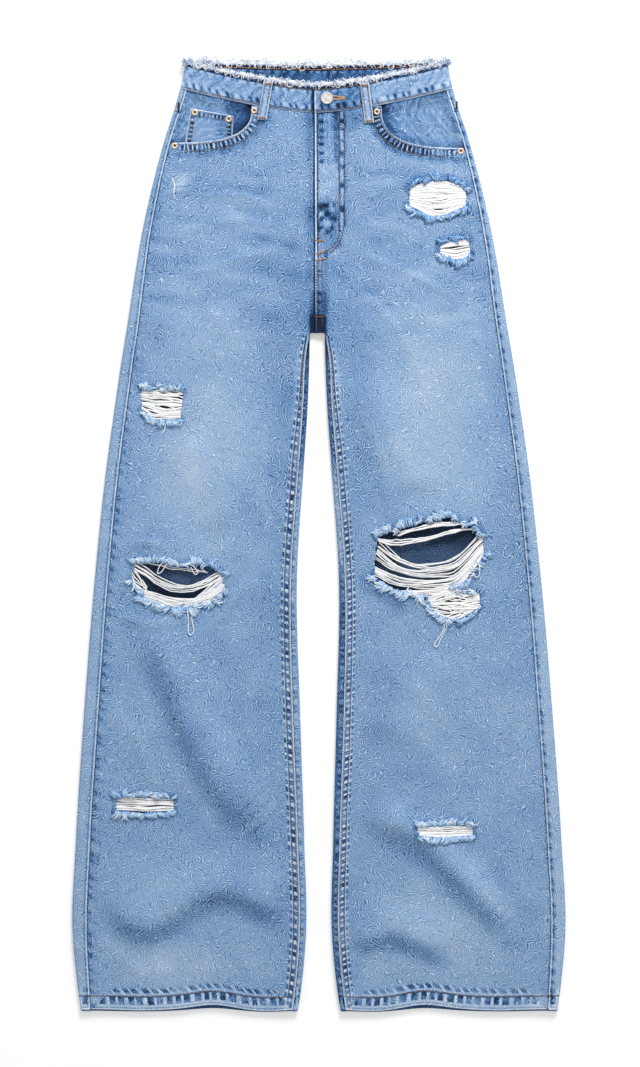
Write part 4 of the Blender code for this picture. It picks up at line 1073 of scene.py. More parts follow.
def front_tone(side, x, down):
    """The ovals of wear and painted shade, the painted fold and crease shades and highlights, the
    fly's marks, painted shade beside each seam, rip and loop and under the waistband and the pocket
    mouths, a scuff on the right hip, and soft noise."""
    tone = wash_and_shade(x, down) - 0.8 * outer_hollows(side, x, down)
    # painted shade under the waistband's lower edge
    tone -= 0.75 * window(down - front_waist_seam(x), -1, 0.8, 0.8)
    tone += fold_height(LIGHTS, x, down) - fold_height(SHADES, x, down) + fly_tone(side, x, down)
    for name in RIPS:
        if side_of(name) == side:
            tone -= (0.42 if "hip" in name else 0.3) * beside_rip(name, x, down)
    to_gap = np.abs(x) - inseam(down)
    tone += 0.24 * window(to_gap, 1.5, 12, 3) * ease((down - CROTCH_DOWN) / 30)
    # a crease's crest is paler, partly rubbed and partly a painted highlight, and one side of it takes
    # painted shade
    line = creases(x, down)
    tone += 0.03 * np.clip(line, 0, 1.6) - 0.08 * np.clip(creases(x - 5, down + 5) - line, 0, 1.5)
    # painted shade in the side seam's groove, and beside and below the front loops
    to_side = side_seam(down) - SEAM_GAP - np.abs(x)
    tone -= 0.5 * window(to_side, -1, 0.9, 0.8) + 0.45 * loop_shade(x, down)
    at_hips = window(down, 120, 320, 50) * window(np.abs(x), 45, 200, 30)
    tone += 0.17 * at_hips * soft_noise(x * 0.3, down + 0.1 * np.abs(x), 11, 73)
    # a pale band between the mouth's rows; painted shade past the outer row and over the left mouth's band
    off, _ = from_mouth(side, x, down)
    tone += 0.12 * window(off, 2, 9, 2) - (0.3 if side == "left" else 0.12) * window(off, 11, 16, 5)
    tone -= 0.4 * window(off, -1, 11, 2) * window(np.abs(x), 40, 130, 12) * (side == "left")
    if side == "right":
        scuff = np.exp(-(((x + 158) / 12.6) ** 2) - ((down - 148) / 10) ** 2)
        tone += 0.55 * scuff * np.clip(0.5 + soft_noise(x * 0.4, down * 2.2, 5, 74), 0, 1.4)
    return tone - 0.04 + 0.07 * soft_noise(x, down, 30, 71) + 0.03 * soft_noise(x, down, 7, 72)


print("thigh tone", round(float(front_tone("left", np.array([126]), np.array([380]))[0]), 2))


# %% [markdown]
# ## The fronts
# A front panel is one surface of two parameters: its rows run from the waist seam to the hem, and
# its columns from the side seam to the centre. Past the hem the rows go round a tight turn and
# come back underneath, because a hem is the same cloth folded up. Columns stand closer together
# beside the seams, where the puckers are.

# %% Front panels
HEM_ROLL = 1.1
CROTCH_ROWS = CROTCH_DOWN + CROTCH_ROW * np.linspace(0, 1, 6)


def front_centre_x(side, down):
    """The front's inner edge: at the centre seam above the crotch, and at the inseam below it."""
    above = FLY_LAP_EDGE if side == "left" else -FLY_UNDERLAP
    return np.where(down <= CROTCH_DOWN, above, inseam(down) + SEAM_GAP)


def front_grid(side):
    """x, down and lift of the grid. Rows follow the waist seam, straighten below it, follow the
    wave of the hem, and then turn back under: the lift falls by the diameter of the turn."""
    rows = np.concatenate([[FIRST_ROW, 68.8, 69.7, 71], np.arange(73, CROTCH_DOWN, 2.55), CROTCH_ROWS,
                           np.arange(LEG_TOP, HEM_ROWS_TOP, 3),
                           np.linspace(HEM_ROWS_TOP, FRONT_HEM_DOWN - HEM_ROLL, 19)])
    turn = np.linspace(0, math.pi, 6)[1:]
    back = np.linspace(0, HEM_DEPTH, 6)[1:]
    level = np.concatenate([rows, rows[-1] + HEM_ROLL * np.sin(turn), rows[-1] - back])[:, None]
    lift = np.concatenate([0 * rows, HEM_ROLL * (np.cos(turn) - 1), 0 * back - 2 * HEM_ROLL])[:, None]
    share = np.concatenate([np.linspace(0, 0.06, 9), np.linspace(0.06, 0.94, 82)[1:-1],
                            np.linspace(0.94, 1, 9)])
    down = level + 0 * share
    for _ in range(4):
        outer = side_seam(down) - SEAM_GAP
        x = outer + share * (front_centre_x(side, down) - outer)
        at_waist = (front_waist_seam(x) + SEAM_GAP - FIRST_ROW) * np.clip(1 - (level - FIRST_ROW) / 80, 0, 1)
        at_hem = hem_wave(x) * ease((level - WAVE_TOP) / (FRONT_HEM_DOWN - WAVE_TOP))
        down = level + at_waist + at_hem
    return x, down, lift + 0 * x


def front_panel(side):
    """The grid with the pocket mouth and the rips left out, at the cloth's height, and 1 mm higher
    over the hem turned under it."""
    x, down, lift = front_grid(side)
    x = x * SIDES[side]
    middle_x = (x[:-1, :-1] + x[1:, 1:]) / 2
    middle_down = (down[:-1, :-1] + down[1:, 1:]) / 2
    in_mouth = (mouth_share(side, middle_x, middle_down) < 1) & (np.abs(middle_x) > POCKET_MOUTH_EDGE)
    keep = ~(in_mouth & (middle_down < 125))
    snap(x, down, keep, mouth_line(side))
    for name in RIPS:
        if side_of(name) == side:
            hole = rip_outline(name)
            stay = ~within(middle_x, middle_down, hole)
            snap(x, down, stay, hole)
            keep &= stay
    turned_up = window(FRONT_HEM_DOWN + hem_wave(x) - down, -5, HEM_DEPTH, 1.6)
    points = place(x, down, cloth_level(side, x, down) + turned_up + lift)
    return sheet("front_panel_" + side, points, front_tone(side, x, down), CLOTH,
                 *WASHED, ["front_" + side], keep, seams=seam_numbers(side, x, down))


fronts = {side: front_panel(side) for side in SIDES}

# %% [markdown]
# ## The backs
# Each back panel is wider than its front, so it wraps round: it shows as a strip outside the side
# seam, rolls round the leg's edge, lies on the floor, and rolls up again inside the leg to the
# inseam. Its section is four joined pieces, and the rows carry that section down the leg.

# %% The section of a back
# where the cloth stands off the floor
BACK_FOLDS = crests("""
    0.9 6 12: 30 330, 80 352, 150 352, 200 338
    0.8 5 10: 40 372, 100 392, 170 384
    0.9 6 12: -30 332, -90 350, -150 358, -205 344
    0.8 5 10: -45 380, -110 396, -165 380
    0.9 7 14: 50 588, 110 600, 190 592, 240 604
    0.8 6 12: 60 640, 140 622, 230 650
    0.9 7 14: -50 600, -120 610, -200 596, -240 612
    0.8 6 12: -70 660, -150 640, -230 662
    0.8 8 16: 60 760, 110 850, 180 930
    0.8 8 16: -80 740, -140 840, -220 900
    0.8 8 14: 60 1000, 140 1030, 230 1010
    0.8 8 14: -60 1020, -150 1000, -240 1026
""")


def seat_section(side, down):
    """x and height of the outer face at each level, as rows by columns: the strip on top, half a
    circle round the side, the floor, and either a flat end at the centre seam or the inner roll."""
    d = np.asarray(down, float)[:, None]
    low = seat_lift(d)
    edge = outline(HALF_WIDTH, d)
    sign = SIDES[side]
    roll_x = edge - ROLL_WIDTH
    seam = side_seam(d)

    strip_x = seam + np.linspace(0, 1, 7) * (roll_x - seam)
    strip_z = cloth_level(side, strip_x * sign, d, fine=False)
    top = strip_z[:, -1:]
    angle = np.linspace(math.pi / 2, -math.pi / 2, 12)[1:]
    side_x = roll_x + ROLL_WIDTH * np.cos(angle)
    side_z = (top + low) / 2 + (top - low) / 2 * np.sin(angle)

    curl = INSEAM_FIRST_CURL + (1 - INSEAM_FIRST_CURL) * ease((d - LEG_TOP) / 27)
    leg_stop = half_gap(np.maximum(d, LEG_TOP)) + ROLL_WIDTH
    in_leg = ease((d - CROTCH_DOWN) / CROTCH_ROW)
    stop = SEAT_FLOOR_END + in_leg * (leg_stop - SEAT_FLOOR_END)
    floor_x = roll_x + np.linspace(0, 1, 26)[1:] * (stop - roll_x)
    folds = fold_height(BACK_FOLDS, floor_x * sign, d)
    floor_z = low + (0.25 * (1 + soft_noise(floor_x, d, 40, 33)) + folds) \
        * ease((roll_x - floor_x) / 20) * ease((floor_x - stop) / 20)

    last = -math.pi / 2 + math.pi * curl
    angle = -math.pi / 2 + (last + math.pi / 2) * np.linspace(0, 1, 11)[1:]
    inner_top = cloth_level(side, leg_stop * sign, np.maximum(d, LEG_TOP), fine=False)
    half = (inner_top - low) / 2
    leg_x = leg_stop - ROLL_WIDTH * np.cos(angle)
    leg_z = low + half + half * np.sin(angle)
    reach = 0.4 + (inseam(d) - leg_stop - 0.4) * ease((curl - 0.75) / 0.25)
    share = np.linspace(0, 1, 4)[1:]
    end_x = leg_x[:, -1:] + share * reach * np.sin(last)
    end_z = leg_z[:, -1:] + share * reach * np.cos(last)
    leg_x, leg_z = np.concatenate([leg_x, end_x], 1), np.concatenate([leg_z, end_z], 1)
    flat_x = SEAT_FLOOR_END + np.linspace(0, 1, leg_x.shape[1] + 1)[1:] * (SEAM_GAP / 2 - SEAT_FLOOR_END)
    inner_x = flat_x + in_leg * (leg_x - flat_x)
    inner_z = low + in_leg * (leg_z - low)
    return np.concatenate([strip_x, side_x, floor_x, inner_x], 1), \
        np.concatenate([strip_z, side_z, floor_z, inner_z], 1)


STRIP_COLUMNS = 9
BACK_WAVE = 0.6


def back_parts(x, down):
    """Which columns lie on top beside the side seam, and which rows are the hem turned under."""
    return np.arange(x.shape[1]) < STRIP_COLUMNS, (np.arange(len(x)) > down[:, 0].argmax())[:, None]


def back_tone(side, x, down):
    """The strips on top carry puckers along both seams; the rest takes the fronts' ovals of wear and
    painted shade, painted shade and darker dye at the crotch, painted shade on the hem turned under,
    and painted light where the knee rips show the floor layer.
    """
    to_seam = np.abs(x) - (side_seam(down))
    marks = (-0.9 if side == "left" else -0.2) * spots(down, 13, 3, 55) * window(to_seam, 2, 6, 2.2)
    on_top, folded = back_parts(x, down)
    at_inseam = np.arange(x.shape[1]) >= x.shape[1] - 4
    ladder = (0.2 - 0.9 * spots(down, 8, 2.2, 57)) * at_inseam * (down > CROTCH_DOWN + 15)
    to_gap = np.abs(x) - half_gap(down)
    by_gap = window(to_gap, -8, outline(INSEAM_STRIP, down) + 2, 1.5) * ease((down - CROTCH_DOWN) / 12)
    by_gap *= 0.55 * ease((500 - down) / 50) + 0.55 * (side == "left") * ease((down - 560) / 60)
    # painted shade where the cloth curves under at the crotch, with the darker dye there
    crotch = -0.95 * np.exp(-((x / 20) ** 2) - ((down - 326) / 20) ** 2)
    # painted shade on the hem turned under, seen below the front hem's wave
    under_hem = -0.8 * (folded & ~on_top)
    ladder = ladder * ease((down - 340) / 12)
    strips = (0.2 if side == "left" else 0.12) * (on_top | at_inseam)
    # painted light on the floor layer where the knee rips show it
    lit = 0.45 * window(np.abs(x), 84, 176, 30) * window(down, 562, 612, 14) * ~on_top * ~at_inseam
    return wash_and_shade(x, down) * 0.6 + lit - by_gap + strips + marks * on_top + ladder + crotch + under_hem \
        + 0.06 * soft_noise(x, down, 12, 56) + 0.12 * fold_height(BACK_FOLDS, x, down) * ~on_top


def strip_edge(x, down):
    """Millimetres from the side seam on the strips that show on top, for the seam marks."""
    to_seam = np.abs(x) - (side_seam(down))
    above_hem = BACK_HEM_DOWN - 2 - down
    on_top, folded = back_parts(x, down)
    return np.where(on_top, np.minimum(np.clip(to_seam, 0, 99) - 0.6, above_hem), 30), \
        np.where(folded, 99, above_hem - HEM_ROW), phase(np.abs(x), 10.8, 99)


def back_panel(side):
    """Rows from the yoke seam to the hem, then folded up inside by two cloths."""
    rows = np.concatenate([np.arange(66.3, CROTCH_DOWN, 2.9), CROTCH_ROWS,
                           np.arange(LEG_TOP, HEM_ROWS_TOP, 3.2),
                           np.linspace(HEM_ROWS_TOP, BACK_HEM_DOWN - HEM_ROLL, 14)])
    x, z = seat_section(side, rows)
    bend = np.clip(1 - (rows - rows[0]) / 90, 0, 1)[:, None]
    drawn = lambda x: BACK_WAVE * hem_wave(x)
    down = rows[:, None] + (yoke_seam(x) + SEAM_GAP - rows[0]) * bend \
        + drawn(x) * ease((rows[:, None] - WAVE_TOP) / (BACK_HEM_DOWN - WAVE_TOP))
    way_x, way_z = np.gradient(x[-1]), np.gradient(z[-1])
    length = np.hypot(way_x, way_z)
    inwards = np.stack([way_z / length, -way_x / length])
    if inwards[1, 0] > 0:
        inwards = -inwards
    turn, back = np.linspace(0, math.pi, 6)[1:, None], np.linspace(0, HEM_DEPTH, 5)[1:, None]
    off = np.concatenate([HEM_ROLL * (1 - np.cos(turn)), 0 * back + 2 * HEM_ROLL])
    fold_down = np.concatenate([rows[-1] + HEM_ROLL * np.sin(turn), rows[-1] - back])
    x = np.concatenate([x, x[-1] + off * inwards[0]]) * SIDES[side]
    z = np.concatenate([z, z[-1] + off * inwards[1]])
    down = np.concatenate([down, fold_down + drawn(x[-len(fold_down):])])
    points = place(x, down, z)
    return sheet("back_panel_" + side, points, back_tone(side, x, down), CLOTH,
                 *WASHED, ["back_" + side], seams=strip_edge(x, down))


backs = {side: back_panel(side) for side in SIDES}

# %% [markdown]
# ## Yokes
# The yoke is the shaped piece between the waistband and the back panel. It takes the place of
# darts: its slanted seam at the centre back lets flat cloth follow a round seat. Its side
# ends come round to the front, beside the pocket mouths.

# %% Yoke panels
YOKE_SIDE_DOWN = 66


def yoke_panel(side):
    """The back's section at the waist, with rows shared out between the waist and yoke seams."""
    share = np.linspace(0, 1, 24)[:, None]
    seam_x = side_seam(WAIST_SEAM_SIDE)
    top = float(front_waist_seam(seam_x)) + SEAM_GAP
    x, z = seat_section(side, top + share[:, 0] * (YOKE_SIDE_DOWN - top))
    on_top = np.arange(x.shape[1]) < STRIP_COLUMNS
    start = np.where(on_top, front_waist_seam(x), back_waist_seam(x)) + SEAM_GAP
    down = start + share * (yoke_seam(x) - start)
    x = x * SIDES[side]
    points = place(x, down, z)
    return sheet("yoke_panel_" + side, points, back_tone(side, x, down) + 0.05, CLOTH,
                 *WASHED, ["yoke_" + side], seams=strip_edge(x, down))


yokes = {side: yoke_panel(side) for side in SIDES}

# %% [markdown]
# ## Waistband
# The waistband is one long strip, folded double and stitched along both edges. It runs from the
# underlap at the centre front, round the wearer's right side, across the back and round the left
# side to the lapped end under the button. One parameter goes round the waist, one goes down.

# %% The waistband's way round
BAND_DEPTH = WAIST_SEAM_SIDE - WAIST_EDGE_SIDE


def band_way(step=1.35):
    """share of the half width, way out at a side roll, angle, and 1 on the front, 0 on the back."""
    front = np.linspace(0.1, -1, int(165 / step))
    quarter = np.linspace(math.pi / 2, -math.pi / 2, 11)[1:-1]
    back = np.linspace(-1, 1, int(300 / (2 * step)))
    last = np.linspace(1, FLY_LAP_EDGE / 150, int(155 / step))
    share = np.concatenate([front, -1 + 0 * quarter, back, 1 + 0 * quarter, last])
    angle = np.concatenate([front * 0 + math.pi / 2, quarter, back * 0 - math.pi / 2, quarter[::-1],
                            last * 0 + math.pi / 2])
    lapped = np.arange(len(share)) >= len(share) - len(last)
    return share, angle, lapped


def band_grid(drops):
    """Points of a strip round the waist. drops: how far below the waist edge each row lies. Front
    and back dip by different amounts, and the side rolls join them by their angle."""
    share, angle, lapped = band_way()
    dip = BACK_WAIST_DIP + (FRONT_WAIST_DIP - BACK_WAIST_DIP) * ((np.sin(angle) + 1) / 2)
    down = WAIST_EDGE_SIDE + drops[:, None] + dip * (1 - np.abs(share) ** WAIST_DIP_POWER)
    half = outline(HALF_WIDTH, np.maximum(down, 12)) - ROLL_WIDTH
    x = share * half + np.sign(share) * ROLL_WIDTH * np.cos(angle)
    z = (BAND_LEVEL + LAYER) / 2 + (BAND_LEVEL - LAYER) / 2 * np.sin(angle)
    return x, down, z + lapped * BAND_LAP * ease((40 - x) / 22)


def band_pucker(x, drop):
    """Dark dots just above the lower seam, paler ridges between them, and slanted pulls."""
    dots = spots(x + 200 - 0.25 * drop, 9.2, 2.1, 91)
    upper = spots(x + 203, 9.6, 2, 92)
    total = (0.4 - 1.5 * dots) * window(BAND_DEPTH - drop, 3.4, 8.8, 2.2)
    total += (0.2 - 0.9 * upper) * window(drop, 5, 8.6, 2) - 0.5 * window(drop, 3.4, 5, 1)
    pulls = spots(x + 0.9 * drop + 300, 15, 2.2, 93) - spots(x + 0.9 * drop + 306, 15, 2.2, 94)
    return total + 0.22 * pulls * window(drop, 8, 21, 5)


def band_strip():
    """Puckers drive its height and tone. Painted shade darkens it under the fringe, in the shade of the
    lap and beside the loops, and a painted highlight makes the lapped end's edge pale."""
    drop = np.linspace(0, BAND_DEPTH, 25)[:, None]
    x, down, z = band_grid(drop[:, 0])
    _, angle, lapped = band_way()
    ridge, in_front = band_pucker(x, drop), z > 6
    soft = 0.35 * soft_noise(x, down, 16, 97) + 0.2 * soft_noise(x, down, 6, 98)
    crown = 0.5 * window(drop, 2.5, BAND_DEPTH - 2.5, 4)
    points = place(x, down, z + (0.35 * ridge + soft + crown - 0.5) * np.sin(angle))
    tone = np.where(ridge > 0, 0.9, 0.95) * ridge + 0.06 + 0.1 * soft_noise(x, down, 13, 96)
    tone += 0.1 * ease((x - 40) / 30) - 0.5 * window(x, 13.4, 15, 0.8) * (z < 5)
    tone += 0.12 * soft_noise(x + 0.8 * drop, 0.4 * down, 4.6, 94) - 0.45 * loop_shade(x, down) * in_front
    # painted shade under the fringe's roll, a little paler below it
    tone -= 0.75 * window(drop, -1, 4.8, 1.4) - 0.25 * window(drop, 4.6, 8, 3)
    # a painted highlight on the lapped end's edge, and painted shade on the band beside it
    tone += 0.6 * lapped * window(x, -2.6, -0.8, 0.6) - 0.9 * ~lapped * in_front * window(x, -6, -2.5, 1)
    tone -= 0.36 * window(x, 3, 58, 10) * in_front
    tone -= 0.12 - 0.14 * ease((np.abs(x) - 100) / 20) * ease((drop - 12) / 8)
    return sheet("waistband_strip", points, tone, BAND_CLOTH, [band_denim, shaded_band_inside], "denim_band",
                 ["waistband"], seams=(BAND_DEPTH - drop, 99, 0))


waistband = band_strip()

# %% [markdown]
# ## Behind the pocket mouths
# A front pocket is a bag inside the jeans. What shows in its mouth is the facing, a piece of the
# same denim sewn on the bag, and on the wearer's right a small patch pocket for coins, with its
# own hem and two rows of stitching down its sides.

# %% Facings and coin pocket
FACING_DEPTH = 3.6
FACING_EDGE = 62
FACING_DOWN = 122
COIN_LENGTH, COIN_WIDTH = 43, 51
COIN_POCKET = ((-144.8, 61.8), (-95.2, 70.6), (-98, 108), (-152.5, 108))


def facing_level(side, x, down):
    """The facing lies deep in the mouth and comes up to the seams that hold it."""
    to_waist = down - front_waist_seam(x)
    to_side = side_seam(down) - np.abs(x)
    open_depth = ease(to_waist / 14) * ease(to_side / 12)
    under_front = ease((mouth_share(side, x, down) - 0.75) / 0.2)
    base = front_level(side, x, down) + unevenness(side, x, down)
    return base - FACING_DEPTH * np.maximum(open_depth, under_front)


def facing_panel(side):
    """Rows from the waist seam down, under the front. Painted shade darkens it near the mouth's edge,
    the waist seam and the fly's end, with slanting streaks that are paler."""
    rows, columns = np.linspace(0, 1, 36)[:, None], np.linspace(0, 1, 60)[None, :]
    down = 60 + rows * 60 + 0 * columns
    for _ in range(4):
        outer = side_seam(down) - SEAM_GAP
        x = outer + columns * (FACING_EDGE - outer)
        start = front_waist_seam(x) + SEAM_GAP
        down = start + rows * (FACING_DOWN - start)
    x = x * SIDES[side]
    off, _ = from_mouth(side, x, down)
    from_band = down - front_waist_seam(x)
    shade = -0.26 * ease((off + 11) / 8) - 0.6 * window(from_band, -1, 1.4, 1.2)
    shade = shade - 0.2 * hill(from_band, 6) * spots(x + 0.8 * down + 400, 8, 2.6, 64) \
        - (0.3 if side == "left" else 0.5) * ease(((102 if side == "left" else 114) - np.abs(x)) / 20)
    streaks = spots(x * SIDES[side] - 0.8 * down + 200, 11, 2.2, 67)
    tone = -0.16 + shade + 0.1 * soft_noise(x, down, 14, 61) + 0.24 * streaks * ease(from_band / 10)
    dots = spots(down, 9, 2.4, 62) * window(outer - np.abs(x), 1, 6, 2)
    points = place(x, down, facing_level(side, x, down) + 0.2 * soft_noise(x, down, 12, 63))
    return sheet("facing_panel_" + side, points, tone - 0.35 * dots, CLOTH,
                 [band_denim], "denim_facing", ["pocket_facing_" + side])


def patch_grid(corners, rows, columns):
    """Points spread evenly over a four-cornered patch, whose corners go round from one corner."""
    a, b, c, d = (np.array(p, float) for p in corners)
    v, u = np.linspace(0, 1, rows)[:, None, None], np.linspace(0, 1, columns)[None, :, None]
    points = (1 - v) * ((1 - u) * a + u * b) + v * ((1 - u) * d + u * c)
    return points[..., 0], points[..., 1], v[..., 0], u[..., 0]


facings = {side: facing_panel(side) for side in SIDES}


def coin_patch():
    """A patch with a hem along its top and two rows of stitches down each side."""
    x, down, v, u = patch_grid(COIN_POCKET, 34, 42)
    v, u = v + 0 * x, u + 0 * x
    from_top, from_edge = v * COIN_LENGTH, np.minimum(u, 1 - u) * COIN_WIDTH
    is_hem = from_top < from_edge + 4
    stitched = np.where(is_hem, from_top - 8, from_edge - 6.6)
    seams = (np.minimum(from_top, from_edge), 10 * np.maximum(stitched, 0) + np.minimum(stitched, 0),
             np.where(is_hem, phase(u * COIN_WIDTH, 4.6, 65), phase(v * COIN_LENGTH, 5, 66)))
    ridge = 0.5 * window(seams[0], -1, 1.4, 1) - 0.3 * window(from_top, 7, 10, 2)
    level = facing_level("right", x, down) + SEAM_GAP + CLOTH
    points = place(x, down, level + 0.25 * ridge + 0.35 * window(from_edge, 2, 30, 6))
    # painted shade on the patch's side towards the pocket mouth
    tone = 0.3 * ridge - 0.02 - 0.3 * ease((x + 122) / 16)
    return sheet("coin_patch", points, tone, CLOTH * 0.9, [band_denim], "denim_facing",
                 ["coin_pocket"], seams=seams)


coin_pocket = coin_patch()

# %% [markdown]
# ## Belt loops and seat pockets
# A belt loop is a strip with its edges turned under, so it's thick and rounded at the sides and
# pressed flat along the middle. Its ends are folded under and held by bar tacks. Two loops show on
# the front. Three more, and the two seat pockets, lie on the floor under the back.

# %% Loops
BACK_LOOPS = {"belt_loop_back_right": -92, "belt_loop_back_centre": 0, "belt_loop_back_left": 92}


def loop_profile(u, v):
    """Height over the loop: rounded sides, a shallow channel between, and folded ends."""
    across = np.abs(2 * u - 1)
    round_side = 0.55 * window(across, 0.62, 0.9, 0.16) - 0.7 * ease((across - 0.88) / 0.12)
    ends = 0.5 * window(np.minimum(v, 1 - v), 0, 0.1, 0.04)
    return round_side + ends


def loop_piece(name, corners, base, up):
    """A patch with a loop's profile: base is its height, and up says which way it looks."""
    x, down, v, u = patch_grid(corners, 44, 15)
    v, u = v + 0 * x, u + 0 * x
    length = 46
    edge = np.abs(2 * u - 1)
    worn = 0.3 - 0.3 * spots(v * length + 7 * len(name), 6, 1.6, 68) * window(edge, 0.3, 0.6, 0.2)
    worn = worn + 0.3 * window(np.minimum(v, 1 - v), 0, 0.03, 0.02)
    height = base(x, down) + (loop_profile(u, v) if up else -0.3 * loop_profile(u, v))
    points = place(x, down, height)
    return sheet(name + "_strip", points, worn - 0.02 + 0.1 * soft_noise(x, down, 7, 69), 1.1,
                 [denim_outside], "denim_band", [name], up=up, seams=((1 - edge) * LOOP_WIDTH / 2, 99, 0))


def band_top(x, down):
    """Height of the waistband's outer face on the front, with its lapped end raised."""
    return BAND_LEVEL + BAND_LAP * ease((40 - x) / 22) * (np.asarray(x) > FLY_LAP_EDGE - 0.01)


for name, ((x0, down0), (x1, down1)) in FRONT_LOOPS.items():
    half = LOOP_WIDTH / 2
    corners = ((x0 - half, down0), (x0 + half, down0), (x1 + half, down1), (x1 - half, down1))
    loop_piece(name, corners, lambda x, down: BAND_LEVEL + 1.6 + 0 * x, True)
for name, x0 in BACK_LOOPS.items():
    half, start = LOOP_WIDTH / 2, float(back_waist_edge(x0)) + 1
    corners = ((x0 - half, start), (x0 + half, start), (x0 + half, start + 48), (x0 - half, start + 48))
    loop_piece(name, corners, lambda x, down: 0.2 + 0 * x, False)

# %% Seat pockets
SEAT_POCKET = {"x": 92, "top": 132, "half top": 68, "half foot": 60, "foot": 125, "point": 148}


def seat_pocket(side):
    """Five-sided: the width narrows towards the foot, and the foot comes down to a point."""
    v, u = np.linspace(0, 1, 60)[:, None], np.linspace(-1, 1, 56)[None, :]
    half = SEAT_POCKET["half top"] + v * (SEAT_POCKET["half foot"] - SEAT_POCKET["half top"])
    x = SEAT_POCKET["x"] * SIDES[side] + u * half
    depth = SEAT_POCKET["foot"] + (SEAT_POCKET["point"] - SEAT_POCKET["foot"]) * (1 - np.abs(u))
    down = SEAT_POCKET["top"] + v * depth
    edge = np.minimum(half * (1 - np.abs(u)), (1 - v) * depth)
    nearest = np.minimum(edge, v * depth)
    seams = (nearest, nearest - 8, np.where(edge < v * depth, phase(down + x, 8, 75), phase(x, 8, 76)))
    z = 0.12 + 0.1 * np.cos(2 * math.pi * seams[2]) * window(nearest, 2.4, 7.4, 1.6) + 0.1
    points = place(x, down, z)
    return sheet("seat_pocket_patch_" + side, points, 0.12 + 0 * x, CLOTH * 0.9,
                 [denim_outside], "denim_washed", ["seat_pocket_" + side], up=False, seams=seams)


seat_pockets = {side: seat_pocket(side) for side in SIDES}

# %% [markdown]
# ## Loose thread
# Frayed denim is a heap of short curled yarns. Each yarn here is a thin tube whose heading turns
# steadily as it goes, so that it makes a hook or a ring. Thousands of them are worked out together
# as one array: threads by points by three.

# %% Curled paths
CURL_POINTS, RIP_CURL_POINTS = 8, 7


def wander(x, down, heading, turn, length, steps):
    """Paths in plan. The heading, in radians from the wearer's left round towards the hem, turns
    by the whole turn over the path, and the path's points are equal steps along it."""
    share = np.linspace(0, 1, steps)
    angle = heading[:, None] + turn[:, None] * share
    step = length[:, None] / (steps - 1) * (share > 0)
    return x[:, None] + np.cumsum(np.cos(angle) * step, 1), down[:, None] + np.cumsum(np.sin(angle) * step, 1)


def arch(steps, height):
    """A low arch over the path: nothing at its start, most in its middle, half of it at its end."""
    share = np.linspace(0, 1, steps)
    return height[:, None] * (np.sin(math.pi * share) + 0.5 * share**2)


# %% [markdown]
# ## The frayed waist
# The waistband's upper edge was left raw, and it has washed into a thick white fringe. A lumpy
# roll gives the fringe its body, and some seventeen hundred curled ends cover the roll.

# %% Waist fringe
def fringe(name, edge, level, body, tall, count, seed, replaced=()):
    """A roll of thread along a waist edge: its radius swells and shrinks. Most curls lie combed
    along it. Those on its upper side stand up, as tall as given, and a few hang down in loops.
    edge gives the waist edge's level at each x, and level its height."""
    rng = np.random.RandomState(seed)
    x = np.linspace(-151, 151, 250)
    lumps = 1 + 0.22 * soft_noise(x, 0, 5, seed) + 0.14 * soft_noise(x, 0, 2.1, seed + 1)
    lumps *= 1 - 0.4 * ease((np.abs(x) - 96) / 40)
    middle = edge(x) - 0.9 * body * lumps
    roll = strands(name + "_roll", place(x, middle, level(x))[None], body * lumps[None],
                   0.14 + 0.3 * soft_noise(x, 0, 4, seed + 2)[None], cotton, "waist_fray", replaced, sides=12)
    x = rng.uniform(-153, 153, count)
    across = rng.uniform(0, 1, count)
    hanging, upper = rng.uniform(0, 1, count) < 0.034, across > 0.72
    across = np.where(hanging, 0.1, across)
    down = edge(x) + 0.4 - across * 1.9 * body
    combed = rng.normal(0.12, 0.4, count) + math.pi * rng.randint(0, 2, count)
    heading = np.where(rng.uniform(0, 1, count) < 0.7, combed, rng.uniform(-math.pi, math.pi, count))
    heading = np.where(upper, -math.pi / 2 + rng.normal(0, 0.7, count), heading)
    heading = np.where(hanging, math.pi / 2 + rng.normal(0, 0.5, count), heading)
    reach = np.where(upper, rng.uniform(0.35, 1, count) * tall, rng.uniform(3, 6.4, count))
    reach = np.where(hanging, rng.uniform(9, 17, count), reach)
    turn = np.where(hanging, rng.choice([-4.6, 4.6], count), rng.normal(0, 1.7, count))
    path_x, path_down = wander(x, down, heading, turn, reach, CURL_POINTS)
    crown = body * np.sqrt(np.clip(1 - (2 * across - 0.9) ** 2, 0.02, 1))
    arches = arch(CURL_POINTS, np.where(hanging, 1.6, rng.uniform(-0.4, 0.4, count)))
    z = level(path_x) + crown[:, None] * 0.9 + arches
    radii = rng.uniform(0.36, 0.62, count)[:, None] * np.linspace(1, 0.7, CURL_POINTS)
    clumps = soft_noise(x, 0, 4, seed + 4)
    tone = rng.normal(0.32, 0.28, count) - 0.3 * ease((np.abs(x) - 96) / 40) + 0.25 * clumps
    # painted shade on the curls along the roll's lower side, next to the band
    tone = (tone - 0.5 * (across < 0.16) + 0.6 * hanging)[:, None] - 0.12 * np.linspace(0, 1, CURL_POINTS)
    curls = strands(name + "_curls", place(path_x, path_down, z), radii, tone, cotton, "waist_fray")
    print(name, count, "curls")
    return roll, curls


front_fringe = fringe("waist_fringe_front", front_waist_edge, lambda x: band_top(x, 0) - 1, 2.1, 4.4,
                      950, 101, ["waist_fray"])
back_fringe = fringe("waist_fringe_back", back_waist_edge, lambda x: LAYER + 1.4 + 0 * x, 1.9, 9.5, 760, 111)

# %% [markdown]
# ## Threads across the rips
# The weft threads stay where the warp has gone. In the small rips they lie nearly straight and
# close. At the knees they have stretched, so they hang in bundles with dark openings
# between them. A thread is a share of the way from one guide line to another, from side to side.

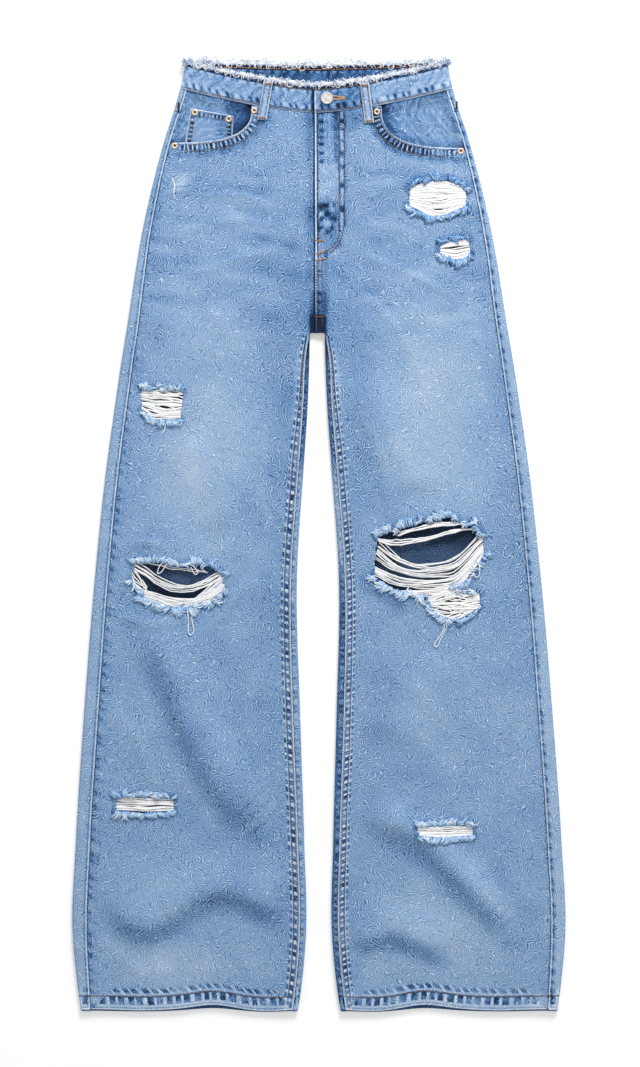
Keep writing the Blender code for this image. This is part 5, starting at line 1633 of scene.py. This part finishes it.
# %% Weft bundles
# threads, thickness, tone: the guide lines above and below the bundle, about the rip's centre
BUNDLES = guide_table("""
    thigh_right
    30 0.82 0.9: -25 -16, 0 -16, 26 -13 | -25 10, -5 19, 25 21
    knee_right
    7 0.66 0.75: -51 -27, -40 -21, -25 -10, 0 -1, 25 -4, 48 -16 | -53 -19, -41 -10, -27 0, 0 7, 27 2, 52 -10
    14 0.78 0.8: -57 -9, -44 6, -33 9, 0 15, 31 10, 56 -8 | -58 2, -46 14, -35 19, -6 29, 22 26, 57 6
    7 0.74 0.85: -52 -18, -44 -8, -36 4 | -56 -8, -48 4, -38 12
    12 0.72 0.45: 20 14, 36 2, 52 -12 | 12 22, 34 12, 54 0
    2 0.6 0.7: -46 -26, -30 -25, -8 -22, 30 -17 | -46 -24, -30 -22, -8 -19, 34 -15
    shin_right
    14 0.7 0.85: -35 -8, 0 -8, 34 -7 | -35 6, 0 8, 35 7
    hip_left
    66 0.9 1: -33 -13, 0 -21, 32 -13 | -33 9, 0 23, 33 9
    hip_left_small
    10 0.78 1: -17 -6, 0 -10, 18 -12 | -17 -1.8, -4 -3.8, 18 -6.2
    14 0.82 1: -17 0, -4 -0.3, 18 -4.2 | -17 5, 0 13, 18 8
    knee_left
    5 0.7 0.8: -36 -26, 9 -38, 36 -38 | -38 -22, 8 -32, 38 -35
    5 0.72 0.75: -62 -21, -40 -16, -8 -20, 30 -30, 56 -31 | -62 -18, -42 -12, -8 -15, 28 -26, 56 -29
    14 0.7 0.8: -58 -21, -34 2, -4 10, 28 3, 61 -28 | -64 3, -40 19, -4 28, 30 21, 62 -11
    10 0.74 0.85: -64 12, -38 25, -5 28, 30 21, 62 -11 | -65 22, -42 33, -5 38, 34 29, 62 -5
    8 0.8 0.85: -64 33, -44 41, -5 40, 34 30, 62 -4 | -66 30, -42 42, -5 47, 34 35, 62 0
    knee_left_lower
    30 0.78 1: -32 -10, 0 -20, 31 -15 | -26 4, 0 15, 31 4
    11 0.74 0.9: -34 -14, -10 -25, 16 -22 | -30 -4, -4 -12, 18 -13
    shin_left
    13 0.7 0.85: -34 -6, 0 -7, 34 -7 | -34 5, 0 7, 35 6""")
LOOSE = {"thigh_right": 0.8, "knee_right": 1.6, "knee_left": 1.6}


def guide(points, centre, share):
    """The guide line through its points, at that share of its width from right to left."""
    points = np.array(points, float) + centre
    x = points[0, 0] + share * (points[-1, 0] - points[0, 0])
    return x, through(points[:, 0], points[:, 1], x)


def weft(name, seed):
    """Every bundle of a rip in one piece. Threads cross a little, sag below the cloth's face, and
    go under the cloth at both ends."""
    side, centre, steps = side_of(name), np.array(RIPS[name][0]), 22
    share = np.linspace(0, 1, steps)
    paths, radii, tones = [], [], []
    for number, (upper, lower, count, thick, tone) in enumerate(BUNDLES[name]):
        count = int(count)
        rng = np.random.RandomState(seed + 17 * number)
        place_in = ((np.arange(count) + 0.5 + rng.uniform(-0.5, 0.5, count)) / count)[:, None]
        strayed = 0.4 if "knee" in name else 0.16
        drift = strayed * (rng.uniform(-1, 1, (count, 1)) * (share - 0.5)
                           + 0.4 * soft_noise(60 * share, 30 * np.arange(count)[:, None], 16, seed + number))
        upper_x, upper_down = guide(upper, centre, share)
        lower_x, lower_down = guide(lower, centre, share)
        part = np.clip(place_in + drift, -0.05, 1.05)
        x = upper_x + part * (lower_x - upper_x)
        loose = LOOSE.get(name, 0.35)
        wave = loose * soft_noise(x, 40 * place_in + number, 13, seed + 3) \
            + 0.35 * loose * soft_noise(x, 90 * place_in, 4.5, seed + 4)
        down = upper_down + part * (lower_down - upper_down) + wave
        under = 1.3 * (1 - np.sin(math.pi * share) ** 0.35)
        z = front_level(side, x, down) - 0.5 - under + rng.uniform(-0.7, 0.5, (count, 1)) \
            + 0.4 * soft_noise(x, 60 * place_in, 8, seed + 5)
        paths.append(place(x, down, z))
        swelling, worn = soft_noise(x, down * 3, 3, seed + 6), soft_noise(x, down * 3, 5, seed + 7)
        radii.append(thick * rng.uniform(0.75, 1.2, (count, 1)) * (1 + 0.15 * swelling))
        tones.append(tone + rng.uniform(-0.25, 0.15, (count, 1)) + 0.15 * worn)
    nodes = ["weft_" + name] + (["weft_knee_left_upper"] if name == "knee_left" else [])
    return strands("weft_threads_" + name, *map(np.concatenate, (paths, radii, tones)), cotton,
                   "weft_threads", nodes, sides=6)


wefts = [weft(name, 200 + 40 * i) for i, name in enumerate(RIPS)]
print(len(wefts), "rips strung")

# %% Threads that have come loose
STRAYS = (  # the side and the thread's course: x down, x down, ...
    ("right", "-174.3 421, -175.4 430, -178.9 436"),
    ("right", "-150.7 634, -149 647, -149 663, -145.6 666.5, -142.8 661, -145 647, -142 634"),
    ("right", "-174.8 580.8, -181.7 587.7, -184 595.7, -179.4 594, -172.5 583"),
    ("right", "-147.1 580.8, -142.5 587.7, -137.9 594.6, -141.4 597, -146 588.8"),
    ("right", "-166 142.6, -163.6 150.9, -164.4 158, -163.8 166"),
    ("left", "141.3 647, 144.8 656.7, 141.3 665.9, 135.6 673.9, 133.2 678.5, 136.7 680, 140.1 672.8, "
             "144.7 663.6, 147.4 656.7, 143.6 647"),
    ("left", "181.8 580, 185.2 587.7, 185.2 598, 180.6 600.3, 178.3 593.4"),
)
for number, (side, points) in enumerate(STRAYS):
    points = rows_of(points)
    at = np.linspace(0, len(points) - 1, 8 * len(points))
    x, down = points_curve(points, at)
    z = cloth_level(side, x, down) + 0.5 + 1.2 * np.sin(math.pi * at / at[-1])
    strands("loose_thread_%d" % number, place(x, down, z)[None], np.full((1, len(at)), 0.55),
            0.6 + 0.3 * soft_noise(x, down, 4, 90 + number)[None], cotton, "weft_threads", sides=6)
print(len(STRAYS), "loose threads")

# %% [markdown]
# ## Curled ends along the rips
# The cut warp ends stand along both edges of a rip as a light blue fringe, and curl back over the
# cloth, where they throw small shadows.

# %% Rip fringes
def rip_fringe(name, which, seed):
    """Ends start on the torn edge and lead away from the hole. Most hook to one side."""
    rng = np.random.RandomState(seed)
    side, away = side_of(name), -1 if which == 1 else 1
    line = rip_line(name, which)
    length = np.ptp(line[:, 0])
    count = int(length * (0.5 if name == "knee_left_lower" and which == 1 else 2.7))
    share = rng.uniform(-0.03, 1.03, count)
    if name == "knee_left" and which == 2:
        share = share[(share < 0.46) | (share > 0.75)]
    if name == "knee_left_lower" and which == 1:
        share = share[share > 0.55]
    count = len(share)
    x = line[0, 0] + share * length
    down = np.interp(x, line[:, 0], line[:, 1]) + away * rng.uniform(-0.9, 1.6, count)
    tuft = soft_noise(x, 0, 6, seed + 1)
    heading = away * math.pi / 2 + (0.4 if "shin" in name else 0.9) * tuft + rng.normal(0, 0.13, count)
    knee = name in ("knee_left", "knee_right")
    hook = rng.uniform(1.2, 4 if knee else 3, count) * (0.7 + 0.5 * soft_noise(x, 0, 9, seed + 4))
    turn = hook * np.where(soft_noise(x, 0, 11, seed + 3) + rng.normal(0, 0.06, count) > 0, 1, -1)
    reach = (0.95 if knee else 0.76) * rng.uniform(8.5, 12.5, count)
    reach = reach * (0.9 + 0.35 * soft_noise(x, 0, 7, seed + 2))
    path_x, path_down = wander(x, down, heading, turn, reach, RIP_CURL_POINTS)
    z = cloth_level(side, path_x, path_down) + 0.4 + arch(RIP_CURL_POINTS, rng.uniform(0.6, 2.4, count))
    radii = rng.uniform(0.56, 0.84, count)[:, None] * np.linspace(1, 0.85, RIP_CURL_POINTS)
    strand = rng.normal(0, 0.26, count)[:, None]
    base = 0.02 if "hip" not in name else -0.45 if which == 1 else -0.2
    # paler at the middle of each curl, where its arch stands highest: painted highlight
    crown = 0.42 * np.sin(math.pi * np.linspace(0, 1, RIP_CURL_POINTS))
    end = name + ("_top" if which == 1 else "_foot")
    nodes = ["fray_" + end] if "fray_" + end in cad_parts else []
    return strands("curls_" + end, place(path_x, path_down, z), radii,
                   base + strand + crown + 0.25 * tuft[:, None], blue_yarn, "blue_fray", nodes)


rip_fringes = {}
for i, name in enumerate(RIPS):
    for which in (1, 2):
        rip_fringes[name, which] = rip_fringe(name, which, 600 + 20 * i + 7 * which)
print(len(rip_fringes), "rip edges frayed")

# %% [markdown]
# ## Topstitching
# Each stitch is a short length of thread that comes up out of the cloth and goes down again, so
# each is its own small arched tube. A row is a smooth line in plan, cut into stitches.

# %% Stitch helpers
def smooth_line(points, spacing):
    """Points every so many millimetres along a smooth curve through the given ones."""
    x, down = points_curve(points, np.linspace(0, len(points) - 1, 30 * len(points)))
    along = np.concatenate([[0], np.cumsum(np.hypot(np.diff(x), np.diff(down)))])
    at = np.arange(0, along[-1], spacing)
    return np.interp(at, along, x), np.interp(at, along, down)


def stitch_row(points, level, spacing=3.1, fill=0.8, lift=0.36, sink=0.3):
    """threads x 4 x 3: each stitch goes from one station towards the next, and its middle stands
    above the cloth by the lift while its ends sink into it."""
    x, down = smooth_line(points, spacing)
    share = np.array([0, 0.28, 0.72, 1]) * fill
    across = x[:-1, None] + share * (x[1:] - x[:-1])[:, None]
    along = down[:-1, None] + share * (down[1:] - down[:-1])[:, None]
    return place(across, along, level(across, along) + np.array([-sink, lift, lift, -sink]))


def bar_tack(x, down, angle, length, width, level, spacing=0.75):
    """A dense bar of thread: parallel stitches across it, side by side along its length."""
    at = np.arange(-length / 2, length / 2, spacing)[:, None]
    across = np.linspace(-width / 2, width / 2, 4)
    plan_x = x + at * math.cos(angle) - across * math.sin(angle)
    plan_down = down + at * math.sin(angle) + across * math.cos(angle)
    return place(plan_x, plan_down, level(plan_x, plan_down) + np.array([-0.1, 0.55, 0.55, -0.1]))


def stitches(name, rows, slot="seam_thread"):
    """rows: (paths, tone, radius). Tone varies a little from stitch to stitch."""
    rng = np.random.RandomState(len(name) * 7 + len(rows))
    paths = np.concatenate([row[0] for row in rows])
    counts = [len(row[0]) for row in rows]
    tone, radius = (np.repeat([row[k] for row in rows], counts) for k in (1, 2))
    tone = tone + rng.uniform(-0.16, 0.16, len(paths))
    made = strands(name, paths, radius[:, None] * np.array([0.6, 1, 1, 0.6]), tone[:, None], sewing, slot)
    print(name, len(paths), "stitches")
    return made


TAN, BROWN, DARK, ORANGE = 0.2, -0.42, -0.8, 0.95

# %% Stitches of the legs
def leg_rows(side):
    """Two rows inside the inseam and one above the hem."""
    sign = SIDES[side]
    level = lambda x, down: cloth_level(side, x, down)
    downs = np.linspace(338, 1090, 40)
    at_inseam = inseam(downs) + SEAM_GAP
    across = np.linspace(29, 272, 34)
    hem = FRONT_HEM_DOWN + hem_wave(across) - HEM_ROW
    hem_level = lambda x, down: cloth_level(side, x, down) + 0.9
    return [
        (stitch_row(np.stack([sign * (at_inseam + 2), downs], 1), level), TAN, 0.5),
        (stitch_row(np.stack([sign * (at_inseam + inseam_row(downs)), downs], 1), level), BROWN, 0.5),
        (stitch_row(np.stack([sign * across, hem], 1), hem_level), BROWN + 0.1, 0.6),
    ]


def mouth_rows(side):
    """Two rows that follow the pocket mouth, each a set distance outside it."""
    level = lambda x, down: cloth_level(side, x, down)
    rows = []
    for off, tone in ((INNER_ROW, TAN), (MOUTH_ROW, BROWN)):
        line = mouth_line(side, off)
        line = line[line[:, 1] > front_waist_seam(line[:, 0]) + 1]
        line = line[np.abs(line[:, 0]) < side_seam(line[:, 1])]
        rows.append((stitch_row(line[::12], level, 2.9), tone, 0.5))
    return rows


for side in SIDES:
    stitches("stitches_leg_" + side, leg_rows(side) + mouth_rows(side))

# %% [markdown]
# ## The fly
# The left front laps over the right at the centre. Under it lies a zip, and the curved double row
# of stitching that holds the zip's facing gives the fly its J shape. Bar tacks stop the fly from
# tearing at its foot.

# %% Fly stitches
def fly_level(x, down):
    """The left front's height."""
    return cloth_level("left", x, down)


J_INNER = ((26.2, 67), (25.9, 120), (25.7, 170), (25.3, 205.9), (20, 218.5), (9.2, 227.1), (-0.6, 229.3))
J_OUTER = ((31.8, 67), (31.6, 120), (31.4, 170), (31.1, 195.5), (28.6, 209), (23.4, 219.7), (11.4, 230.5))
FLY_FOOT = (((-0.6, 236), (-0.8, 270), (-1, 314)), ((6, 236), (5.9, 270), (5.8, 314)))
FLY_TACKS = ((3, 213.9, 0, 1.7), (4.4, 228, -0.28, 1.6), (5.5, 235.5, -0.17, 1.5))  # x, down, angle, width
fly = [(stitch_row(((0.9, 70), (0.7, 150), (0.6, 229)), fly_level, 2.6, 0.6), DARK, 0.42)]
fly += [(stitch_row(line, fly_level), BROWN, 0.55) for line in (J_INNER, J_OUTER)]
fly += [(stitch_row(line, fly_level), BROWN, 0.5) for line in FLY_FOOT]
fly += [(bar_tack(*at, 10.5, width, fly_level), ORANGE, 0.4) for *at, width in FLY_TACKS]
fly.append((bar_tack(2.6, 301.5, 0, 10.5, 1.8, fly_level), BROWN, 0.45))
stitches("stitches_fly", fly)

# %% Stitches of the waistband, loops and coin pocket
def band_row(drop, start=-148, stop=148):
    """A line that far below the waist edge."""
    x = np.linspace(start, stop, 60)
    return np.stack([x, front_waist_edge(x) + drop], 1)


def side_tack(side, x, down, length):
    """A dark tack that runs down the side seam from the waistband."""
    above = lambda x, down: cloth_level(side, x, down) + 0.3
    return bar_tack(x, down, math.pi / 2, length, 2.4, above), DARK, 0.4


def over_loops(x, down):
    """A level plane over the belt loops of the front."""
    return BAND_LEVEL + 3 + 0 * x


def coin_top(x, down):
    """0.1 mm above the coin pocket's face before its ridges and crown."""
    return facing_level("right", x, down) + SEAM_GAP + CLOTH + 0.1


band = [(stitch_row(band_row(BAND_DEPTH - 2.2), band_top, 3), 0.05, 0.42),
        (stitch_row(band_row(4.2, -70, 70), band_top, 3), -0.1, 0.42),
        (stitch_row(((0.4, 42), (0.6, 54), (0.6, 65)), band_top, 2.8), TAN, 0.5)]
inside_x = np.linspace(-140, 140, 60)
band.append((stitch_row(np.stack([inside_x, back_waist_edge(inside_x) + 2.4 + 1.8 * waist_dip(inside_x)], 1),
                        lambda x, down: LAYER + BAND_CLOTH + 0.1 + 0 * x, 3), ORANGE, 0.5))
slit = np.linspace(0, 1, 24)
for edge in (-1, 1):
    hole_x = 18.5 + 13 * slit
    hole_down = 50.4 + edge * (1.9 - 1.4 * slit)
    ends = np.stack([hole_down - edge * 1, hole_down, hole_down + edge * 0.6, hole_down + edge * 1.2], 1)
    band.append((place(hole_x[:, None] + 0 * ends, ends, band_top(hole_x, 0)[:, None] + [0, 0.6, 0.6, 0]),
                 0.7, 0.3))
band += [(bar_tack(31.8, 50.4, 0, 1.6, 3, band_top), 0.75, 0.34), side_tack("left", 160.9, 59, 9),
         side_tack("right", -158.4, 61.5, 12)]
for name, ((x0, down0), (x1, down1)) in FRONT_LOOPS.items():
    for off in (-3.9, 3.9):
        ends = ((x0 + off, down0 + 3), (x1 + off, down1 - 4))
        band.append((stitch_row(ends, over_loops, 2.8, lift=0.1), TAN, 0.36))
    for x, down in ((x0, down0 + 2.6), (x1, down1 - 2.6)):
        band.append((bar_tack(x, down, 0, 8.4, 1.7, over_loops), 0.85, 0.4))
stitches("stitches_waist", band)

coin = []
for drop in (1.7, 7.2):
    coin.append((stitch_row(((-142.5, 61.9 + drop), (-97, 70.2 + drop)), coin_top, 2.7), TAN, 0.36))
for first, last in (((-143.3, 63), (-150.3, 106)), ((-138.8, 66), (-144.6, 106)),
                    ((-96.8, 72), (-99.4, 106)), ((-101.5, 73), (-104, 106))):
    coin.append((stitch_row((first, last), coin_top, 2.7), TAN, 0.45))
stitches("stitches_coin", coin)

# %% Stitches under the garment
def seat_under(x, down):
    """Just below the back's outer face."""
    return seat_lift(down) - 0.1 + 0 * x


def pocket_under(x, down):
    """Just above the floor."""
    return 0.02 + 0 * x


def hidden_row(points, level):
    """A row whose stitches hang down from the cloth."""
    return stitch_row(points, level, lift=-0.3, sink=-0.3), TAN, 0.5


below = []
for side, sign in SIDES.items():
    x0 = SEAT_POCKET["x"] * sign
    for inset in (2, 8):
        left, right = x0 - 68 + inset, x0 + 68 - inset
        foot = 257 - 0.6 * inset
        corners = ((left, 134), (x0 - 60 + inset, foot), (x0, 280 - 1.2 * inset), (x0 + 60 - inset, foot),
                   (right, 134))
        for a, b in zip(corners[:-1], corners[1:]):
            below.append(hidden_row((a, b), pocket_under))
        hem = 132 + inset + 1.5
        below.append(hidden_row(((left, hem), (right, hem)), pocket_under))
        yoke_x = np.linspace(3, 148, 12) * sign
        below.append(hidden_row(np.stack([yoke_x, yoke_seam(yoke_x) - inset], 1), seat_under))
        middle = inset * 0.6 * sign
        below.append(hidden_row(((middle, 118), (middle, 308)), seat_under))
stitches("stitches_under", below)

# %% [markdown]
# ## Button and rivets
# The button's head is pressed metal over a shank: a rim, a ring and a low dome. It's held by
# its shank and goes through the buttonhole, so it doesn't turn or slide as one part. The rivets are
# burrs: a flared ring with the pin's end spread in its middle. Each is a profile carried round.

# %% Metal
def metal(name, colour, dark, roughness):
    """Worn plate: dark in the hollows, where tone is below nothing, and brushed by fine noise."""
    made, tree, shader = new_material(name, roughness, 0.9)
    wear = noise(tree, 900, 3) * 0.6 + noise(tree, 260, 2, 0.5, 2) + attribute(tree, "tone")
    colour_by(tree, shader, wear - 0.3, ((0, dark), (0.5, colour)))
    raise_by(tree, shader, wear, 0.35, 0.0002)
    return made


nickel = metal("worn_nickel", (206, 201, 197), (120, 114, 112), 0.68)
copper = metal("old_copper", (226, 206, 188), (96, 66, 50), 0.5)


def turned(name, profile, centre, base, look, replaced, hollow, steps=48):
    """The profile's (radius, height) points carried round the upright axis through the centre.
    hollow is the (radius from, radius to, tone) of its dark ring or middle."""
    at = np.linspace(0, len(profile) - 1, 5 * len(profile))
    radius, height = points_curve(profile, at)
    radius = np.maximum(radius, 0.05)
    turn = 2 * math.pi * np.arange(steps) / steps
    x = centre[0] + radius[:, None] * np.cos(turn)
    down = centre[1] + radius[:, None] * np.sin(turn)
    verts = place(x, down, base + height[:, None]).reshape(-1, 3)
    index = np.arange(len(verts)).reshape(len(at), steps)
    following = np.roll(index, -1, 1)
    faces = np.stack([index[:-1], index[1:], following[1:], following[:-1]], -1).reshape(-1, 4).tolist()
    faces += [index[0].tolist(), index[-1, ::-1].tolist()]
    mesh = bpy.data.meshes.new(name)
    mesh.from_pydata(verts, [], faces)
    mesh.update()
    mesh.polygons.foreach_set("use_smooth", np.ones(len(faces), bool))
    start, stop, depth = hollow
    tone = np.repeat(depth * window(radius, start, stop, 0.5) - 0.7 * (height < 0.3), steps)
    mesh.attributes.new("tone", "FLOAT", "POINT").data.foreach_set("value", tone.astype(np.float32))
    return finish_piece(bpy.data.objects.new(name, mesh), [look], [replaced])


BUTTON_PLACE = (11.8, 51)
BUTTON = ((0.05, 0), (5.4, 0), (6.5, 0.5), (6.9, 1.2), (6.7, 1.9), (6.1, 2.2), (5.5, 2.15), (5, 2),
          (4.5, 1.95), (3.9, 2.05), (2.4, 2.25), (0.05, 2.35))
RIVET = ((0.05, 0), (3.2, 0), (3.6, 0.5), (3.2, 1.1), (2.5, 1.3), (1.9, 1), (1.5, 0.4), (1.1, 0.2),
         (0.7, 0.2), (0.05, 0.25))
RIVETS = {
    "rivet_mouth_right": (-71.8, 64.5), "rivet_side_right": (-163, 105),
    "rivet_mouth_left": (69.2, 66), "rivet_side_left": (165.5, 111),
    "rivet_coin_right": (-140, 66.5), "rivet_coin_left": (-101, 74),
}
turned("button_head", BUTTON, BUTTON_PLACE, BAND_LEVEL + BAND_LAP + 0.3, nickel,
       "waist_button", (4.5, 5.1, -0.22))
for name, (x, down) in RIVETS.items():
    if "coin" in name:
        base = float(facing_level("right", x, down)) + LAYER + 0.3
    else:
        base = float(cloth_level(side_of(name), x, down)) + 0.2
    turned(name + "_burr", RIVET, (x, down), base, copper, name, (-1, 1.25, -0.9), steps=32)
print("button and", len(RIVETS), "rivets")

# %% [markdown]
# ## Area of the cloth
# Each sheet's one-sided area is measured from its own mesh as the sheet is built.


# %% [markdown]
# ## Floor, light and camera
# The jeans lie on a plain white floor under soft light. The world gives an even light from
# everywhere, and one large lamp beyond the waist, low enough to rake over the folds, gives each
# pucker a bright and a dark side. To the camera the floor also glows a little, so that it's white
# where nothing shades it, and it keeps the garment's shadow.

# %% Stage
FLOOR_LEVEL = -0.0006
half = 3
mesh = bpy.data.meshes.new("floor")
mesh.from_pydata([(-half, -half, FLOOR_LEVEL), (half, -half, FLOOR_LEVEL), (half, half, FLOOR_LEVEL),
                  (-half, half, FLOOR_LEVEL)], [], [(0, 1, 2, 3)])
floor = bpy.data.objects.new("floor", mesh)
bpy.context.scene.collection.objects.link(floor)

paper, tree, shader = new_material("white_paper", 1)
shader.inputs["Base Color"].default_value = (0.86, 0.86, 0.86, 1)
shader.inputs["Specular IOR Level"].default_value = 0
seen = node(tree, "ShaderNodeLightPath")
shader.inputs["Emission Color"].default_value = (1, 1, 1, 1)
glow = Shade(seen.outputs["Is Camera Ray"]) * 0.3
tree.links.new(glow.socket, shader.inputs["Emission Strength"])
mesh.materials.append(paper)

world = bpy.data.worlds.new("studio")
world.use_nodes = True
tree = world.node_tree
background = tree.nodes["Background"]
paths = node(tree, "ShaderNodeLightPath")
direct = Shade(paths.outputs["Is Camera Ray"]).math("MAXIMUM", paths.outputs["Is Glossy Ray"])
WORLD_LIGHT = 0.54
strength = direct * (1 - WORLD_LIGHT) + WORLD_LIGHT
tree.links.new(strength.socket, background.inputs["Strength"])
background.inputs["Color"].default_value = (1, 1, 1, 1)
bpy.context.scene.world = world

lamp = bpy.data.lights.new("window_lamp", "AREA")
lamp.shape = "SQUARE"
lamp.size = 1
lamp.energy = 88
key = bpy.data.objects.new("window_lamp", lamp)
bpy.context.scene.collection.objects.link(key)
KEY_PLACE = np.array([0.7, 2.7, 1.9])
key.location = KEY_PLACE
aim = -KEY_PLACE / np.linalg.norm(KEY_PLACE)
key.rotation_euler = (math.acos(-aim[2]), 0, math.atan2(-aim[0], aim[1]))

camera = bpy.data.cameras.new("camera")
camera.lens = 100
camera.sensor_width = 36
camera.clip_end = 20
eye = bpy.data.objects.new("camera", camera)
eye.location = (0.00115, -0.0005, 3.41)
bpy.context.scene.collection.objects.link(eye)
bpy.context.scene.camera = eye
bpy.context.scene.view_settings.view_transform = "Standard"
print("camera", round(eye.location.z, 2), "m above the floor")
